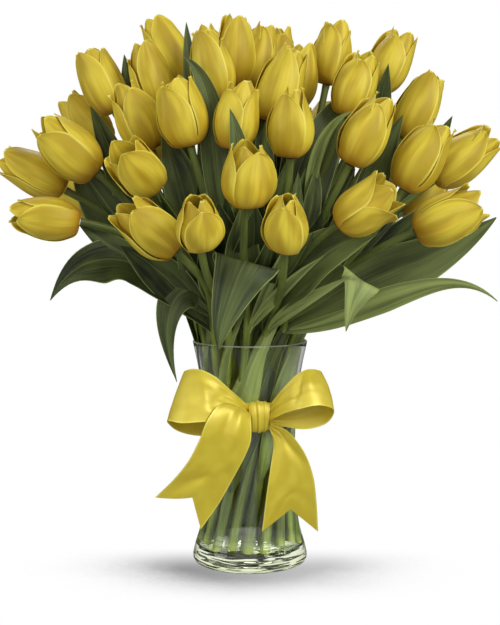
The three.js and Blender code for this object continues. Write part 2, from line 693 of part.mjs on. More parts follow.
const facing = FACING_LEAVES.map(([root, bend, reach, tip, width, face]) => {
  return { root, bend, reach, tip, width, face };
});
const folding = FOLDING_LEAVES.map(([root, bend, reach, tip, width, lie]) => {
  return { root, bend, reach, tip, width, lie };
});
const leavesOfStem = curves.map(() => []);
for (const leaf of [...facing, ...folding]) {
  const { point, index } = nearestStem(placed(...leaf.root), curves);
  leavesOfStem[index].push(leafSolid(leaf, point));
}
for (const [name, members] of bunches) {
  const stems = members.map((index) => stemSolid(curves[index], STEM_RADIUS));
  const blades = members.flatMap((index) => leavesOfStem[index]);
  addPiece(`leafy_stems_${name}`, geometryOf(joined([...stems, ...blades])), GREEN);
}

BLOOMS.forEach((bloom, index) => {
  const geometry = geometryOf(bloomSolid(bloom)).rotateZ(radians(bloom.turn));
  const mesh = addPiece(`bloom_${String(index + 1).padStart(2, "0")}`, geometry, PETAL);
  mesh.position.copy(frames[index].base);
  mesh.quaternion.setFromRotationMatrix(frames[index].basis);
});

export default bouquet;
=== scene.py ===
"""A bunch of yellow tulips in a flared glass vase, tied with a satin ribbon bow.

Lengths are millimetres and angles are degrees unless a docstring says otherwise, and the meshes are
made in metres. The origin is the middle of the vase's underside, Z is up and the front faces -Y.
"""

from __future__ import annotations
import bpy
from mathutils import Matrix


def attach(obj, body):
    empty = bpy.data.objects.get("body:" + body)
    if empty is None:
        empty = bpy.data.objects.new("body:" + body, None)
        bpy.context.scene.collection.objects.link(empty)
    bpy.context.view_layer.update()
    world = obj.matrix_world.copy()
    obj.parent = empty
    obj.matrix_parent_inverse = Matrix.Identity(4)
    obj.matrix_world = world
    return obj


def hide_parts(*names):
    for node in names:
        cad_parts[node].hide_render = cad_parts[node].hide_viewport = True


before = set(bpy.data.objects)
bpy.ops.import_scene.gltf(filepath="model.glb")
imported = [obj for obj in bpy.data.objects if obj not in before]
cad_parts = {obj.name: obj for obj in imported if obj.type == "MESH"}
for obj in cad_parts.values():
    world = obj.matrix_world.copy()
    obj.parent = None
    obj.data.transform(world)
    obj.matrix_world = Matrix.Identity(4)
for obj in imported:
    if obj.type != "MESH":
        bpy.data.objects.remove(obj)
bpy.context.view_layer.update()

import logging
import math
from dataclasses import dataclass, field
from enum import Enum
from functools import cached_property

import bpy
import numpy as np

LOG = logging.getLogger("tulips")
MM = 0.001
BODY = "root"
GOLDEN_SHARE = 0.618
RIBBON_WIDTH = 38
PICTURE = (500, 625)
ASKEW = (0.3, 1.0, 0.1)
FRONT, FRONT_UP, BACK, BACK_UP = (0, -1, 0), (0, -0.8, 0.6), (0, 1, 0), (0, 0.8, 0.6)
STEM_SEED, LEAF_SEED, FILLER_SEED, SHEATH_SEED = 100, 500, 77, 78

# A range or a pair, a place or a way, and a colour
Span = tuple[float, float]
Triple = tuple[float, float, float]
Colour = tuple[float, float, float, float]

# The blooms in the order of their nodes: across, up, depth, lean, nod, length, girth, openness, turn
BLOOM_ROWS = (
    (-172, 313, -24, -62, 5, 55, 32, 0.5, 35),
    (-164, 278, -62, -83, 8, 54, 32, 0.3, -25),
    (-145, 334, -48, -48, 8, 60, 38, 0.35, -25),
    (-131, 354, 28, -42, 0, 54, 33, 0.5, 20),
    (-118, 386, 4, -25, 0, 56, 34, 0.5, -42),
    (-90, 358, -48, -24, 6, 56, 34, 0.3, 38),
    (-79, 390, -12, -17, 0, 53, 31, 0.5, 30),
    (-90, 317, -80, -38, 32, 48, 35, 0.75, 4),
    (-81, 270, -110, -48, 14, 53, 34, 0.6, 10),
    (-41, 274, -146, -4, 34, 43, 32, 0.1, 14),
    (-54, 362, -78, -14, 8, 53, 37, 0.45, -36),
    (-66, 409, 26, -24, 0, 57, 33, 0.45, 30),
    (-30, 398, -42, -12, 0, 56, 32, 0.3, -30),
    (-32, 404, 52, -6, 0, 55, 31, 0.3, 22),
    (-12, 409, -6, 3, 0, 57, 31, 0.35, 6),
    (7, 406, 28, 14, 0, 57, 30, 0.25, -18),
    (22, 404, 62, 8, 0, 55, 30, 0.3, 12),
    (25, 383, -44, 19, 0, 60, 34, 0.35, -12),
    (38, 390, 0, 10, 0, 54, 30, 0.3, 35),
    (65, 408, 30, 11, 0, 54, 32, 0.4, -40),
    (33, 353, -90, 2, 8, 51, 33, 0.25, -28),
    (-10, 359, -84, 8, 4, 51, 32, 0.5, -45),
    (-1, 312, -130, 6, 20, 47, 38, 0.35, 30),
    (29, 274, -154, 2, 32, 45, 31, 0.1, -22),
    (84, 384, -38, 20, 0, 54, 32, 0.3, -20),
    (111, 401, 18, 24, 0, 54, 33, 0.5, -24),
    (93, 347, -82, 27, 6, 56, 34, 0.3, -16),
    (134, 366, -6, 27, 0, 57, 33, 0.35, -25),
    (137, 327, -66, 29, 4, 58, 36, 0.3, -30),
    (170, 326, -14, 52, 4, 62, 36, 0.4, -28),
    (93, 287, -116, 57, 14, 50, 35, 0.8, 55),
    (159, 279, -62, 66, 6, 57, 37, 0.6, 14),
    (-138, 298, 56, -50, -24, 56, 34, 0.4, 10),
    (-92, 270, 104, -42, -40, 56, 34, 0.4, -20),
    (-34, 290, 128, -10, -42, 56, 34, 0.35, 30),
    (28, 268, 132, 8, -48, 56, 34, 0.5, -35),
    (86, 286, 108, 36, -38, 56, 34, 0.4, 20),
    (138, 298, 60, 50, -24, 56, 34, 0.35, -10),
    (-72, 348, 86, -20, -24, 56, 34, 0.45, 40),
    (-8, 356, 96, -2, -26, 56, 34, 0.35, -30),
    (56, 348, 90, 16, -24, 56, 34, 0.3, 15),
    (104, 344, 56, 28, -12, 56, 34, 0.4, -25),
)


class Slot(Enum):
    """The record's material slots."""

    GLASS = "vase_glass"
    WATER = "water"
    SATIN = "satin"
    GREENS = "greens"
    PETALS = "petals"


def unit(vectors: np.ndarray) -> np.ndarray:
    """Vectors scaled to length one."""
    length = np.linalg.norm(vectors, axis=-1, keepdims=True)
    return vectors / np.maximum(length, 1e-12)


def fraction(value: float) -> float:
    """What a value has past its whole number."""
    return value - math.floor(value)


def eased(values: np.ndarray, low: float, high: float) -> np.ndarray:
    """A smooth step from 0 at low to 1 at high."""
    share = np.clip((values - low) / (high - low), 0.0, 1.0)
    return share * share * (3.0 - 2.0 * share)


def bezier(corners: list[np.ndarray], shares: np.ndarray) -> np.ndarray:
    """Points of a cubic Bezier curve.

    Args:
        corners: Its four control points.
        shares: Parameters from 0 to 1.

    Returns:
        One point for each parameter.
    """
    u = np.asarray(shares, float)[:, None]
    a, b, c, d = corners
    return a * (1 - u) ** 3 + 3 * b * u * (1 - u) ** 2 + 3 * c * u * u * (1 - u) + d * u**3


def spline(points: np.ndarray, shares: np.ndarray) -> np.ndarray:
    """Points of a centripetal Catmull-Rom curve through given points.

    Args:
        points: The points that it passes, whose parameters are evenly spaced.
        shares: Parameters from 0 to 1.

    Returns:
        One point for each parameter.
    """
    knots = np.asarray(points, float)
    knots = np.vstack([2 * knots[0] - knots[1], knots, 2 * knots[-1] - knots[-2]])
    last = len(knots) - 3
    found = []
    for share in shares:
        place = min(int(share * last), last - 1)
        weight = share * last - place
        p0, p1, p2, p3 = knots[place : place + 4]
        d0, d1, d2 = (math.sqrt(np.linalg.norm(b - a)) for a, b in ((p0, p1), (p1, p2), (p2, p3)))
        m1 = d1 * ((p1 - p0) / d0 - (p2 - p0) / (d0 + d1) + (p2 - p1) / d1)
        m2 = d1 * ((p2 - p1) / d1 - (p3 - p1) / (d1 + d2) + (p3 - p2) / d2)
        found.append(
            p1
            + m1 * weight
            + (3 * (p2 - p1) - 2 * m1 - m2) * weight**2
            + (2 * (p1 - p2) + m1 + m2) * weight**3
        )
    return np.array(found)


def linked(name: str, data: bpy.types.ID) -> bpy.types.Object:
    """Adds an object to the scene.

    Args:
        name: Its name.
        data: The mesh, camera or light that it shows.

    Returns:
        The new object.
    """
    made = bpy.data.objects.new(name, data)
    bpy.context.scene.collection.objects.link(made)
    return made


def tube_faces(index: np.ndarray) -> list[list[int]]:
    """Quads between rings of points, whose indices stand ring by ring in the rows."""
    turned = np.roll(index, -1, axis=1)
    return np.stack([index[:-1], turned[:-1], turned[1:], index[1:]], axis=-1).reshape(-1, 4).tolist()


def sheet_faces(rows: int, columns: int) -> list[list[int]]:
    """Quads of a closed sheet whose upper grid comes first and whose lower grid follows it.

    Args:
        rows: How many points each grid has along the sheet.
        columns: How many it has across.

    Returns:
        The upper and the lower faces, and those of the four sides.
    """
    top = np.arange(rows * columns).reshape(rows, columns)
    low = top + rows * columns
    quads = (
        (top[:-1, :-1], top[1:, :-1], top[1:, 1:], top[:-1, 1:]),
        (low[:-1, :-1], low[:-1, 1:], low[1:, 1:], low[1:, :-1]),
        (top[:-1, 0], low[:-1, 0], low[1:, 0], top[1:, 0]),
        (low[:-1, -1], top[:-1, -1], top[1:, -1], low[1:, -1]),
        (low[0, :-1], top[0, :-1], top[0, 1:], low[0, 1:]),
        (top[-1, :-1], low[-1, :-1], low[-1, 1:], top[-1, 1:]),
    )
    return np.concatenate([np.stack(corners, axis=-1).reshape(-1, 4) for corners in quads]).tolist()


@dataclass
class Draft:
    """Points, faces and surface coordinates that become one piece."""

    points: list[np.ndarray] = field(default_factory=list)
    faces: list[list[int]] = field(default_factory=list)
    finishes: list[int] = field(default_factory=list)
    blades: list[np.ndarray] = field(default_factory=list)
    outers: list[np.ndarray] = field(default_factory=list)
    count: int = 0

    def add(
        self, points: np.ndarray, faces: list, blade: np.ndarray, outer: np.ndarray, finish: int = 0
    ) -> None:
        """Adds one closed body.

        Args:
            points: Its vertices in millimetres.
            faces: Its faces as indices of those vertices.
            blade: Across, along and a random draw for each vertex.
            outer: 1 where a vertex is on the side that looks outward, else 0.
            finish: Which of the piece's materials it takes.
        """
        self.points.append(points)
        self.faces.extend((np.asarray(face) + self.count).tolist() for face in faces)
        self.finishes.extend([finish] * len(faces))
        self.blades.append(blade)
        self.outers.append(outer)
        self.count += len(points)

    def add_sheet(self, grid: np.ndarray, half: np.ndarray, along: np.ndarray, draw: float) -> None:
        """Adds a thin closed sheet round a grid of middle points.

        Args:
            grid: Rows along the sheet by columns across it.
            half: The half thickness at each grid point.
            along: The second surface coordinate of each row.
            draw: The random draw that the sheet's colour reads.
        """
        rows, columns = grid.shape[:2]
        normal = unit(np.cross(np.gradient(grid, axis=0), np.gradient(grid, axis=1)))
        lift = normal * half[..., None]
        across, lengthwise = np.meshgrid(np.linspace(-1, 1, columns), along)
        blade = np.stack([across, lengthwise, np.full((rows, columns), draw)], axis=-1).reshape(-1, 3)
        points = np.concatenate([(grid + lift).reshape(-1, 3), (grid - lift).reshape(-1, 3)])
        side = np.repeat([0.0, 1.0], rows * columns)
        self.add(points, sheet_faces(rows, columns), np.vstack([blade, blade]), side)

    def add_tube(self, path: np.ndarray, radii: np.ndarray, sides: int, draw: float, finish: int = 0) -> None:
        """Adds a closed round tube along a path, with flat ends.

        Args:
            path: The points of its centre line.
            radii: Its radius at each point.
            sides: How many sides its section has.
            draw: The random draw that the tube's colour reads.
            finish: Which of the piece's materials it takes.
        """
        count = len(path)
        heading = unit(np.gradient(path, axis=0))
        side = unit(np.cross(heading[0], ASKEW))
        angle = 2 * math.pi * np.arange(sides)[:, None] / sides
        rings = []
        for point, way, radius in zip(path, heading, radii):
            side = unit(side - way * np.dot(side, way))
            rings.append(point + radius * (np.cos(angle) * side + np.sin(angle) * np.cross(way, side)))
        index = np.arange(count * sides).reshape(count, sides)
        faces = tube_faces(index) + [index[0][::-1].tolist(), index[-1].tolist()]
        shares = np.repeat(np.linspace(0, 1, count), sides)
        around = np.tile(2 * np.arange(sides) / sides - 1, count)
        blade = np.stack([around, shares, np.full(count * sides, draw)], axis=1)
        self.add(np.vstack(rings), faces, blade, np.ones(count * sides), finish)

    def add_turned(self, outline: np.ndarray, segments: int) -> None:
        """Adds a body turned about Z.

        Args:
            outline: Radius and height of each point, from one end on the axis to the other, or a
                closed outline that stays off the axis.
            segments: How many steps make the full turn.
        """
        poles = outline[0][0] == 0
        ring = outline[1:-1] if poles else outline
        angle = 2 * math.pi * np.arange(segments) / segments
        x, y = ring[:, :1] * np.cos(angle), ring[:, :1] * np.sin(angle)
        points = np.stack([x, y, np.broadcast_to(ring[:, 1:], x.shape)], axis=-1).reshape(-1, 3)
        index = np.arange(len(points)).reshape(len(ring), segments)
        faces = tube_faces(index if poles else np.vstack([index, index[:1]]))
        if poles:
            first, last = len(points), len(points) + 1
            faces += [[first, b, a] for a, b in zip(index[0], np.roll(index[0], -1))]
            faces += [[last, a, b] for a, b in zip(index[-1], np.roll(index[-1], -1))]
            points = np.vstack([points, [[0, 0, outline[0][1]], [0, 0, outline[-1][1]]]])
        self.add(points, faces, points[:, [0, 2, 1]], np.ones(len(points)))

    def settle(
        self, name: str, slot: Slot, node: str, *materials: bpy.types.Material, crease: float = 40
    ) -> bpy.types.Object:
        """Makes the piece, which rides on the body in place of its CAD node.

        Args:
            name: The piece's name.
            slot: The piece's material slot, which is not used.
            node: The CAD node that it stands for.
            *materials: Its materials, in the order of the finishes.
            crease: Faces that meet at more than this angle keep a sharp edge.

        Returns:
            The finished piece.
        """
        mesh = bpy.data.meshes.new(name)
        mesh.from_pydata((np.vstack(self.points) * MM).tolist(), [], self.faces)
        for material in materials:
            mesh.materials.append(material)
        mesh.polygons.foreach_set("material_index", np.array(self.finishes, np.int32))
        mesh.polygons.foreach_set("use_smooth", np.ones(len(self.faces), bool))
        blade = mesh.attributes.new("blade", "FLOAT_VECTOR", "POINT")
        blade.data.foreach_set("vector", np.vstack(self.blades).astype(np.float32).ravel())
        outer = mesh.attributes.new("outer", "FLOAT", "POINT")
        outer.data.foreach_set("value", np.concatenate(self.outers).astype(np.float32))
        mesh.update()
        mesh.set_sharp_from_angle(angle=math.radians(crease))
        piece = linked(name, mesh)
        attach(piece, BODY)
        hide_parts(node)
        LOG.info("%s: %d faces, for %s", name, len(self.faces), node)
        return piece


class Field:
    """A shader value that Python's operators combine into Math nodes."""

    def __init__(self, surface: "Surface", socket: bpy.types.NodeSocket) -> None:
        """Wraps one output socket."""
        self.surface = surface
        self.socket = socket

    def math(self, operation: str, *others: "Field | float") -> "Field":
        """A Math node on this value and others.

        Args:
            operation: What the node does.
            *others: Its other inputs.

        Returns:
            The node's result.
        """
        sockets = dict(enumerate([self, *others]))
        made = self.surface.node("ShaderNodeMath", {"operation": operation}, sockets)
        return Field(self.surface, made.outputs[0])

    def __add__(self, other: "Field | float") -> "Field":
        """This value plus another."""
        return self.math("ADD", other)

    __radd__ = __add__

    def __mul__(self, other: "Field | float") -> "Field":
        """This value times another."""
        return self.math("MULTIPLY", other)

    __rmul__ = __mul__

    def __sub__(self, other: "Field | float") -> "Field":
        """This value less another."""
        return self.math("SUBTRACT", other)

    def __rsub__(self, other: float) -> "Field":
        """Another value less this one."""
        return (self * -1.0) + other

    def __pow__(self, power: float) -> "Field":
        """This value to a power."""
        return self.math("POWER", power)

    def size(self) -> "Field":
        """This value without its sign."""
        return self.math("ABSOLUTE")

    def eased(self, low: float, high: float) -> "Field":
        """A smooth step.

        Args:
            low: The value up to which it is 0.
            high: The value from which it is 1.

        Returns:
            The eased value.
        """
        settings = {"interpolation_type": "SMOOTHSTEP"}
        sockets = {"Value": self, "From Min": low, "From Max": high, "To Min": 0.0, "To Max": 1.0}
        return Field(self.surface, self.surface.node("ShaderNodeMapRange", settings, sockets).outputs[0])


class Surface:
    """The nodes of one material, or of the surroundings, while they are built."""

    def __init__(self, name: str, world: bool = False) -> None:
        """Starts an empty material, or empty surroundings.

        Args:
            name: Its name.
            world: Whether it is the surroundings.
        """
        self.owner = (bpy.data.worlds if world else bpy.data.materials).new(name)
        self.owner.use_nodes = True
        self.tree = self.owner.node_tree
        self.tree.nodes.clear()

    def node(self, kind: str, settings: dict | None = None, sockets: dict | None = None) -> bpy.types.Node:
        """Adds a node.

        Args:
            kind: The node's type.
            settings: Its own settings, which are set first.
            sockets: A value, Field or output socket for each input, by name or number.

        Returns:
            The new node.
        """
        made = self.tree.nodes.new(kind)
        for name, value in (settings or {}).items():
            setattr(made, name, value)
        for name, value in (sockets or {}).items():
            source = value.socket if isinstance(value, Field) else value
            if isinstance(source, bpy.types.NodeSocket):
                self.tree.links.new(source, made.inputs[name])
            else:
                made.inputs[name].default_value = source
        return made

    @cached_property
    def blade(self) -> tuple[Field, ...]:
        """The surface's own across, along and random draw."""
        read = self.node("ShaderNodeAttribute", {"attribute_name": "blade"})
        split = self.node("ShaderNodeSeparateXYZ", None, {0: read.outputs["Vector"]})
        return tuple(Field(self, output) for output in split.outputs)

    def outer(self) -> Field:
        """1 on the side of a sheet that looks outward, 0 on the other."""
        read = self.node("ShaderNodeAttribute", {"attribute_name": "outer"})
        return Field(self, read.outputs["Fac"])

    def noise(self, scales: Triple, detail: float = 2.0) -> Field:
        """Noise over the surface's three own coordinates.

        Args:
            scales: How much each of them counts.
            detail: How many finer layers the noise has.

        Returns:
            The noise, from 0 to 1.
        """
        scaled = dict(enumerate(part * scale for part, scale in zip(self.blade, scales)))
        place = self.node("ShaderNodeCombineXYZ", None, scaled)
        sockets = {"Vector": place.outputs[0], "Scale": 1.0, "Detail": detail}
        return Field(self, self.node("ShaderNodeTexNoise", None, sockets).outputs["Fac"])

    def layered(self, colour: Colour, *layers: tuple[Field, Colour]) -> bpy.types.NodeSocket:
        """A colour with others laid over it.

        Args:
            colour: The lowest colour.
            *layers: The share and the colour of each layer, from the lowest up.

        Returns:
            The mixed colour's socket.
        """
        settings = {"data_type": "RGBA", "clamp_factor": True}
        for share, over in layers:
            colour = self.node("ShaderNodeMix", settings, {0: share, 6: colour, 7: over}).outputs[2]
        return colour

    def bump(self, height: Field, distance: float, strength: float = 1.0) -> bpy.types.NodeSocket:
        """A normal from a height field, whose full height is distance in metres."""
        return self.shader("ShaderNodeBump", {"Strength": strength, "Distance": distance, "Height": height})

    def shader(self, kind: str, sockets: dict) -> bpy.types.NodeSocket:
        """The output of a node with these socket values."""
        return self.node(kind, None, sockets).outputs[0]

    def by_ray(self, usual: bpy.types.NodeSocket, others: dict) -> bpy.types.NodeSocket:
        """A shader that is another one for some rays.

        Args:
            usual: The shader for all other rays.
            others: The shader of each kind of ray, as the light path names it. A later one wins.

        Returns:
            The shader's output.
        """
        path = self.node("ShaderNodeLightPath")
        for ray, other in others.items():
            usual = self.shader("ShaderNodeMixShader", {0: path.outputs[ray], 1: usual, 2: other})
        return usual

    def close(self, shader: bpy.types.NodeSocket, output: str = "ShaderNodeOutputMaterial") -> bpy.types.ID:
        """Ends the nodes in this shader."""
        self.node(output, None, {0: shader})
        return self.owner

    def finish(self, sockets: dict) -> bpy.types.Material:
        """Ends the material in a Principled shader with these socket values."""
        return self.close(self.shader("ShaderNodeBsdfPrincipled", sockets))


def tint(red: int, green: int, blue: int) -> Colour:
    """A colour from its screen values.

    Args:
        red: Its screen value, from 0 to 255.
        green: Its screen value, from 0 to 255.
        blue: Its screen value, from 0 to 255.

    Returns:
        The linear colour, with a full alpha.
    """
    shares = [value / 255 for value in (red, green, blue)]
    linear = [s / 12.92 if s <= 0.04045 else ((s + 0.055) / 1.055) ** 2.4 for s in shares]
    return (*linear, 1.0)


@dataclass(frozen=True)
class PetalFinish:
    """Soft waxy petals: clouded, finely veined, with a painted highlight along the edge and tip, and warm at
    the root, whose darker orange is partly the petal's colour and partly painted shade.
    """

    body: Colour = tint(196, 167, 39)
    light: Colour = tint(238, 214, 68)
    # Painted highlight: the bright colour of the rim, standing for light glowing through the thin edge.
    edge: Colour = tint(253, 238, 104)
    # Partly the petal's own warm base colour and partly painted shade deep in the cup.
    root: Colour = tint(198, 134, 30)
    dusk: Colour = tint(184, 152, 44)

    def build(self) -> bpy.types.Material:
        """Makes the material.

        Returns:
            The finished material.
        """
        surface = Surface("petal")
        across, along, draw = surface.blade
        cloud = surface.noise((1.7, 1.4, 43.0), 1.5)
        streaks = surface.noise((13.0, 1.3, 67.0))
        veins = surface.noise((52.0, 2.6, 71.0))
        rib = (1.0 - across.size().eased(0.0, 0.14)) * (1.0 - along.eased(0.4, 0.9))
        # Mask of the painted highlight: the outer edges and the very tip.
        rim = across.size().eased(0.9, 0.98) * along.eased(0.1, 0.5) + along.eased(0.97, 0.995)
        colour = surface.layered(
            self.body,
            (cloud.eased(0.32, 0.68), self.light),
            (streaks.eased(0.45, 0.8) * 0.3, self.dusk),
            (draw.eased(0.3, 1.0) * along.eased(0.55, 1.0) * 0.45, self.dusk),
            # Painted shade with real warmth: darker orange towards the foot and along the lower midrib.
            ((1.0 - along.eased(0.0, 0.4)) * 0.8, self.root),
            (rib * 0.3, self.root),
            # Painted highlight along the edges and the tip.
            (rim * 0.8, self.edge),
        )
        relief = veins * 0.45 + streaks * 0.5
        return surface.finish(
            {
                "Base Color": colour,
                "Roughness": 0.5,
                "Specular IOR Level": 0.35,
                "Normal": surface.bump(relief, 0.0005, 0.5),
                "Subsurface Weight": 0.15,
                "Subsurface Radius": (1.0, 0.7, 0.12),
                "Subsurface Scale": 0.003,
            }
        )


@dataclass(frozen=True)
class HeartFinish:
    """Pistil and stamens inside a bloom."""

    pistil: Colour = tint(170, 176, 80)
    anther: Colour = tint(96, 74, 30)

    def build(self) -> bpy.types.Material:
        """Makes the material.

        Returns:
            The finished material.
        """
        surface = Surface("bloom_heart")
        colour = surface.layered(self.pistil, (surface.blade[2].eased(0.4, 0.6), self.anther))
        relief = surface.bump(surface.noise((6.0, 9.0, 31.0)), 0.0004, 0.5)
        return surface.finish({"Base Color": colour, "Roughness": 0.6, "Normal": relief})


@dataclass(frozen=True)
class LeafFinish:
    """Blue-green blades with fine lengthwise veins, a pale keel and a pale edge, each paler or darker as a
    whole by its tone, which is partly its own colour and partly painted light and shade.
    """

    body: Colour = tint(87, 101, 51)
    dark: Colour = tint(33, 43, 26)
    pale: Colour = tint(170, 186, 108)

    def build(self) -> bpy.types.Material:
        """Makes the material.

        Returns:
            The finished material.
        """
        surface = Surface("leaf")
        across, _, draw = surface.blade
        veins = surface.noise((24.0, 1.6, 51.0))
        cloud = surface.noise((1.8, 2.6, 29.0), 2.5)
        bands = surface.noise((1.7, 1.7, 47.0))
        # A blade's tone pales or darkens it as a whole: partly its own colour, partly painted light and shade
        # for how the light falls on it.
        tone = draw + (1.0 - surface.outer()) * draw.eased(0.3, 0.45) * 0.75
        paling = tone.eased(0.2, 1.0) * (bands.eased(0.34, 0.66) * 0.65 + 0.35)
        keel = 1.0 - across.size().eased(0.0, 0.06)
        rim = across.size().eased(0.94, 0.99)
        colour = surface.layered(
            self.dark,
            (cloud.eased(0.32, 0.66), self.body),
            (veins.eased(0.45, 0.8) * 0.2, self.pale),
            (paling * 0.95, self.pale),
            # Low tones darken the blade: partly its own colour, partly painted shade.
            ((1.0 - draw.eased(0.0, 0.3)) * 0.4, self.dark),
            (keel * 0.25 + rim * 0.8, self.pale),
        )
        relief = veins + keel * -0.6
        return surface.finish(
            {
                "Base Color": colour,
                "Roughness": cloud * 0.16 + 0.42,
                "Specular IOR Level": 0.35,
                "Normal": surface.bump(relief, 0.0006, 0.6),
                "Subsurface Weight": 0.05,
                "Subsurface Radius": (0.6, 1.0, 0.25),
                "Subsurface Scale": 0.002,
            }
        )


@dataclass(frozen=True)
class StemFinish:
    """Smooth pale green stems, faintly ribbed, pale at the cut foot and darker above the vase."""

    body: Colour = tint(146, 160, 66)
    dark: Colour = tint(92, 108, 44)
    pale: Colour = tint(186, 196, 96)
    shade: Colour = tint(78, 90, 44)

    def build(self) -> bpy.types.Material:
        """Makes the material.

        Returns:
            The finished material.
        """
        surface = Surface("stem")
        along = surface.blade[1]
        ribs = surface.noise((9.0, 2.0, 37.0))
        cloud = surface.noise((1.5, 7.0, 19.0))
        colour = surface.layered(
            self.dark,
            (cloud.eased(0.3, 0.7), self.body),
            (ribs.eased(0.5, 0.8) * 0.4, self.pale),
            ((1.0 - along.eased(0.0, 0.015)) * 0.7, self.pale),
            (along.eased(0.33, 0.55) * 0.6, self.shade),
        )
        relief = surface.bump(ribs, 0.0005, 0.6)
        return surface.finish({"Base Color": colour, "Roughness": 0.42, "Normal": relief})


@dataclass(frozen=True)
class SatinFinish:
    """Ribbon satin: a fine cross thread, a warm soft gloss and a bright woven edge."""

    body: Colour = tint(240, 220, 64)
    shade: Colour = tint(230, 206, 54)
    edge: Colour = tint(255, 242, 100)

    def build(self) -> bpy.types.Material:
        """Makes the material.

        Returns:
            The finished material.
        """
        surface = Surface("satin")
        cloud = surface.noise((1.6, 2.4, 13.0), 1.0)
        thread = surface.noise((3.0, 150.0, 17.0))
        warp = surface.noise((70.0, 6.0, 23.0), 1.0)
        rim = surface.blade[0].size().eased(0.93, 0.97) * 0.9
        colour = surface.layered(self.shade, (cloud.eased(0.3, 0.7), self.body), (rim, self.edge))
        relief = thread * 0.6 + warp * 0.4
        return surface.finish(
            {
                "Base Color": colour,
                "Metallic": 0.2,
                "Roughness": 0.45,
                "Anisotropic": 0.4,
                "Specular IOR Level": 0.85,
                "Normal": surface.bump(relief, 0.00012, 0.4),
                "Sheen Weight": 0.25,
                "Sheen Roughness": 0.35,
                "Sheen Tint": tint(255, 244, 180),
            }
        )


@dataclass(frozen=True)
class ClearFinish:
    """Clear glass or water, uneven near the foot and with a painted highlight as a pale band at the lip,
    which lets light through.

    The calm and foot spans and the span of the painted lip highlight are the heights between which the
    unevenness ends, the foot's colour ends and the painted highlight begins. The bend is the index of
    refraction, and the unevenness is in metres.
    """

    name: str
    colour: Colour
    foot_colour: Colour
    bend: float
    uneven: float = 0.0
    calm: Span = (14.0, 34.0)
    foot: Span = (8.0, 20.0)
    # Painted highlight: the heights, colour and share of the pale band on the lip.
    lip_highlight: Span = (1000.0, 1001.0)
    lip_highlight_colour: Colour = tint(214, 224, 196)
    lip_highlight_share: float = 0.5

    def build(self) -> bpy.types.Material:
        """Makes the material.

        Returns:
            The finished material.
        """
        surface = Surface(self.name)
        height = surface.blade[1]
        ripple = surface.noise((0.04, 0.3, 0.04), 1.0) * (1.0 - height.eased(*self.calm))
        colour = surface.layered(self.foot_colour, (height.eased(*self.foot), self.colour))
        clear = {"Base Color": colour, "Roughness": 0.0, "IOR": self.bend, "Transmission Weight": 1.0}
        clear["Normal"] = surface.bump(ripple, self.uneven)
        # Painted highlight: a pale, rough band on the lip that stands for the glint along it.
        lip_highlight = {"Base Color": self.lip_highlight_colour, "Roughness": 0.4}
        glass, pale = (surface.shader("ShaderNodeBsdfPrincipled", sockets) for sockets in (clear, lip_highlight))
        share = height.eased(*self.lip_highlight) * self.lip_highlight_share
        solid = surface.shader("ShaderNodeMixShader", {0: share, 1: glass, 2: pale})
        through = surface.shader("ShaderNodeBsdfTransparent", {0: self.colour})
        return surface.close(surface.by_ray(solid, {"Is Shadow Ray": through}))


# The glass's painted lip highlight lies just below its top.
GLASS = ClearFinish(
    "glass", (0.96, 0.98, 0.93, 1), (0.9, 0.96, 0.66, 1), bend=1.5, uneven=0.0009, lip_highlight=(178.7, 179.7)
)
WATER = ClearFinish("water", (0.95, 0.98, 0.93, 1), (0.95, 0.98, 0.93, 1), bend=1.33)


@dataclass(frozen=True)
class Viewpoint:
    """The eye that the blooms' and leaves' across, up and depth are measured from."""

    distance: float = 1022
    height: float = 293

    def placed(self, across: float, up: float, depth: float) -> np.ndarray:
        """The point seen at across and up in the upright plane through the vase's axis, at a depth."""
        nearness = 1 + depth / self.distance
        return np.array([across * nearness, depth, self.height + (up - self.height) * nearness])


EYE = Viewpoint()


@dataclass(frozen=True)
class Whorl:
    """Three like petals: where they start, how high, far out and wide they stand, and how they cup."""

    first: float
    reach: Span
    inset: float
    root: float
    breadth: float
    half_turn: float
    flatness: float
    flare: float
    groove: float
    tuck: float


@dataclass(frozen=True)
class Heart:
    """The pistil and the stamens in the middle of a bloom."""

    rise: float = 0.42
    foot: float = 0.6
    pistil_radii: tuple[float, ...] = (2.2, 2.3, 2.4, 2.3, 2.6, 3.0)
    pistil_sides: int = 8
    pistil_tone: float = 0.1
    stamens: int = 6
    stamen_radii: tuple[float, ...] = (0.5, 0.5, 0.5, 1.1, 1.3, 0.6)
    stamen_sides: int = 6
    stamen_tone: float = 0.8
    stamen_turn: float = 15
    stamen_foot: float = 0.8
    stamen_rise: float = 0.95
    stamen_out: float = 2.6
    stamen_slant: float = 3.4

    def add_to(self, draft: Draft, length: float, axes: np.ndarray, base: np.ndarray) -> None:
        """Adds the pistil and the stamens to a bloom's draft, in its second material.

        Args:
            draft: The bloom's draft.
            length: The bloom's length.
            axes: The bloom's side, back and axis.
            base: The foot of the bloom.
        """
        steps = np.linspace(0, 1, len(self.pistil_radii))[:, None]
        up = np.array([0, 0, length * self.rise])
        path = ([0, 0, self.foot] + steps * up) @ axes + base
        draft.add_tube(path, self.pistil_radii, self.pistil_sides, self.pistil_tone, 1)
        reach = self.stamen_out + steps * self.stamen_slant
        for stamen in range(self.stamens):
            angle = math.radians(360 / self.stamens * stamen + self.stamen_turn)
            out = np.array([math.cos(angle), math.sin(angle), 0.0])
            path = out * reach + steps * (up * self.stamen_rise) + [0, 0, self.stamen_foot]
            draft.add_tube(path @ axes + base, self.stamen_radii, self.stamen_sides, self.stamen_tone, 1)


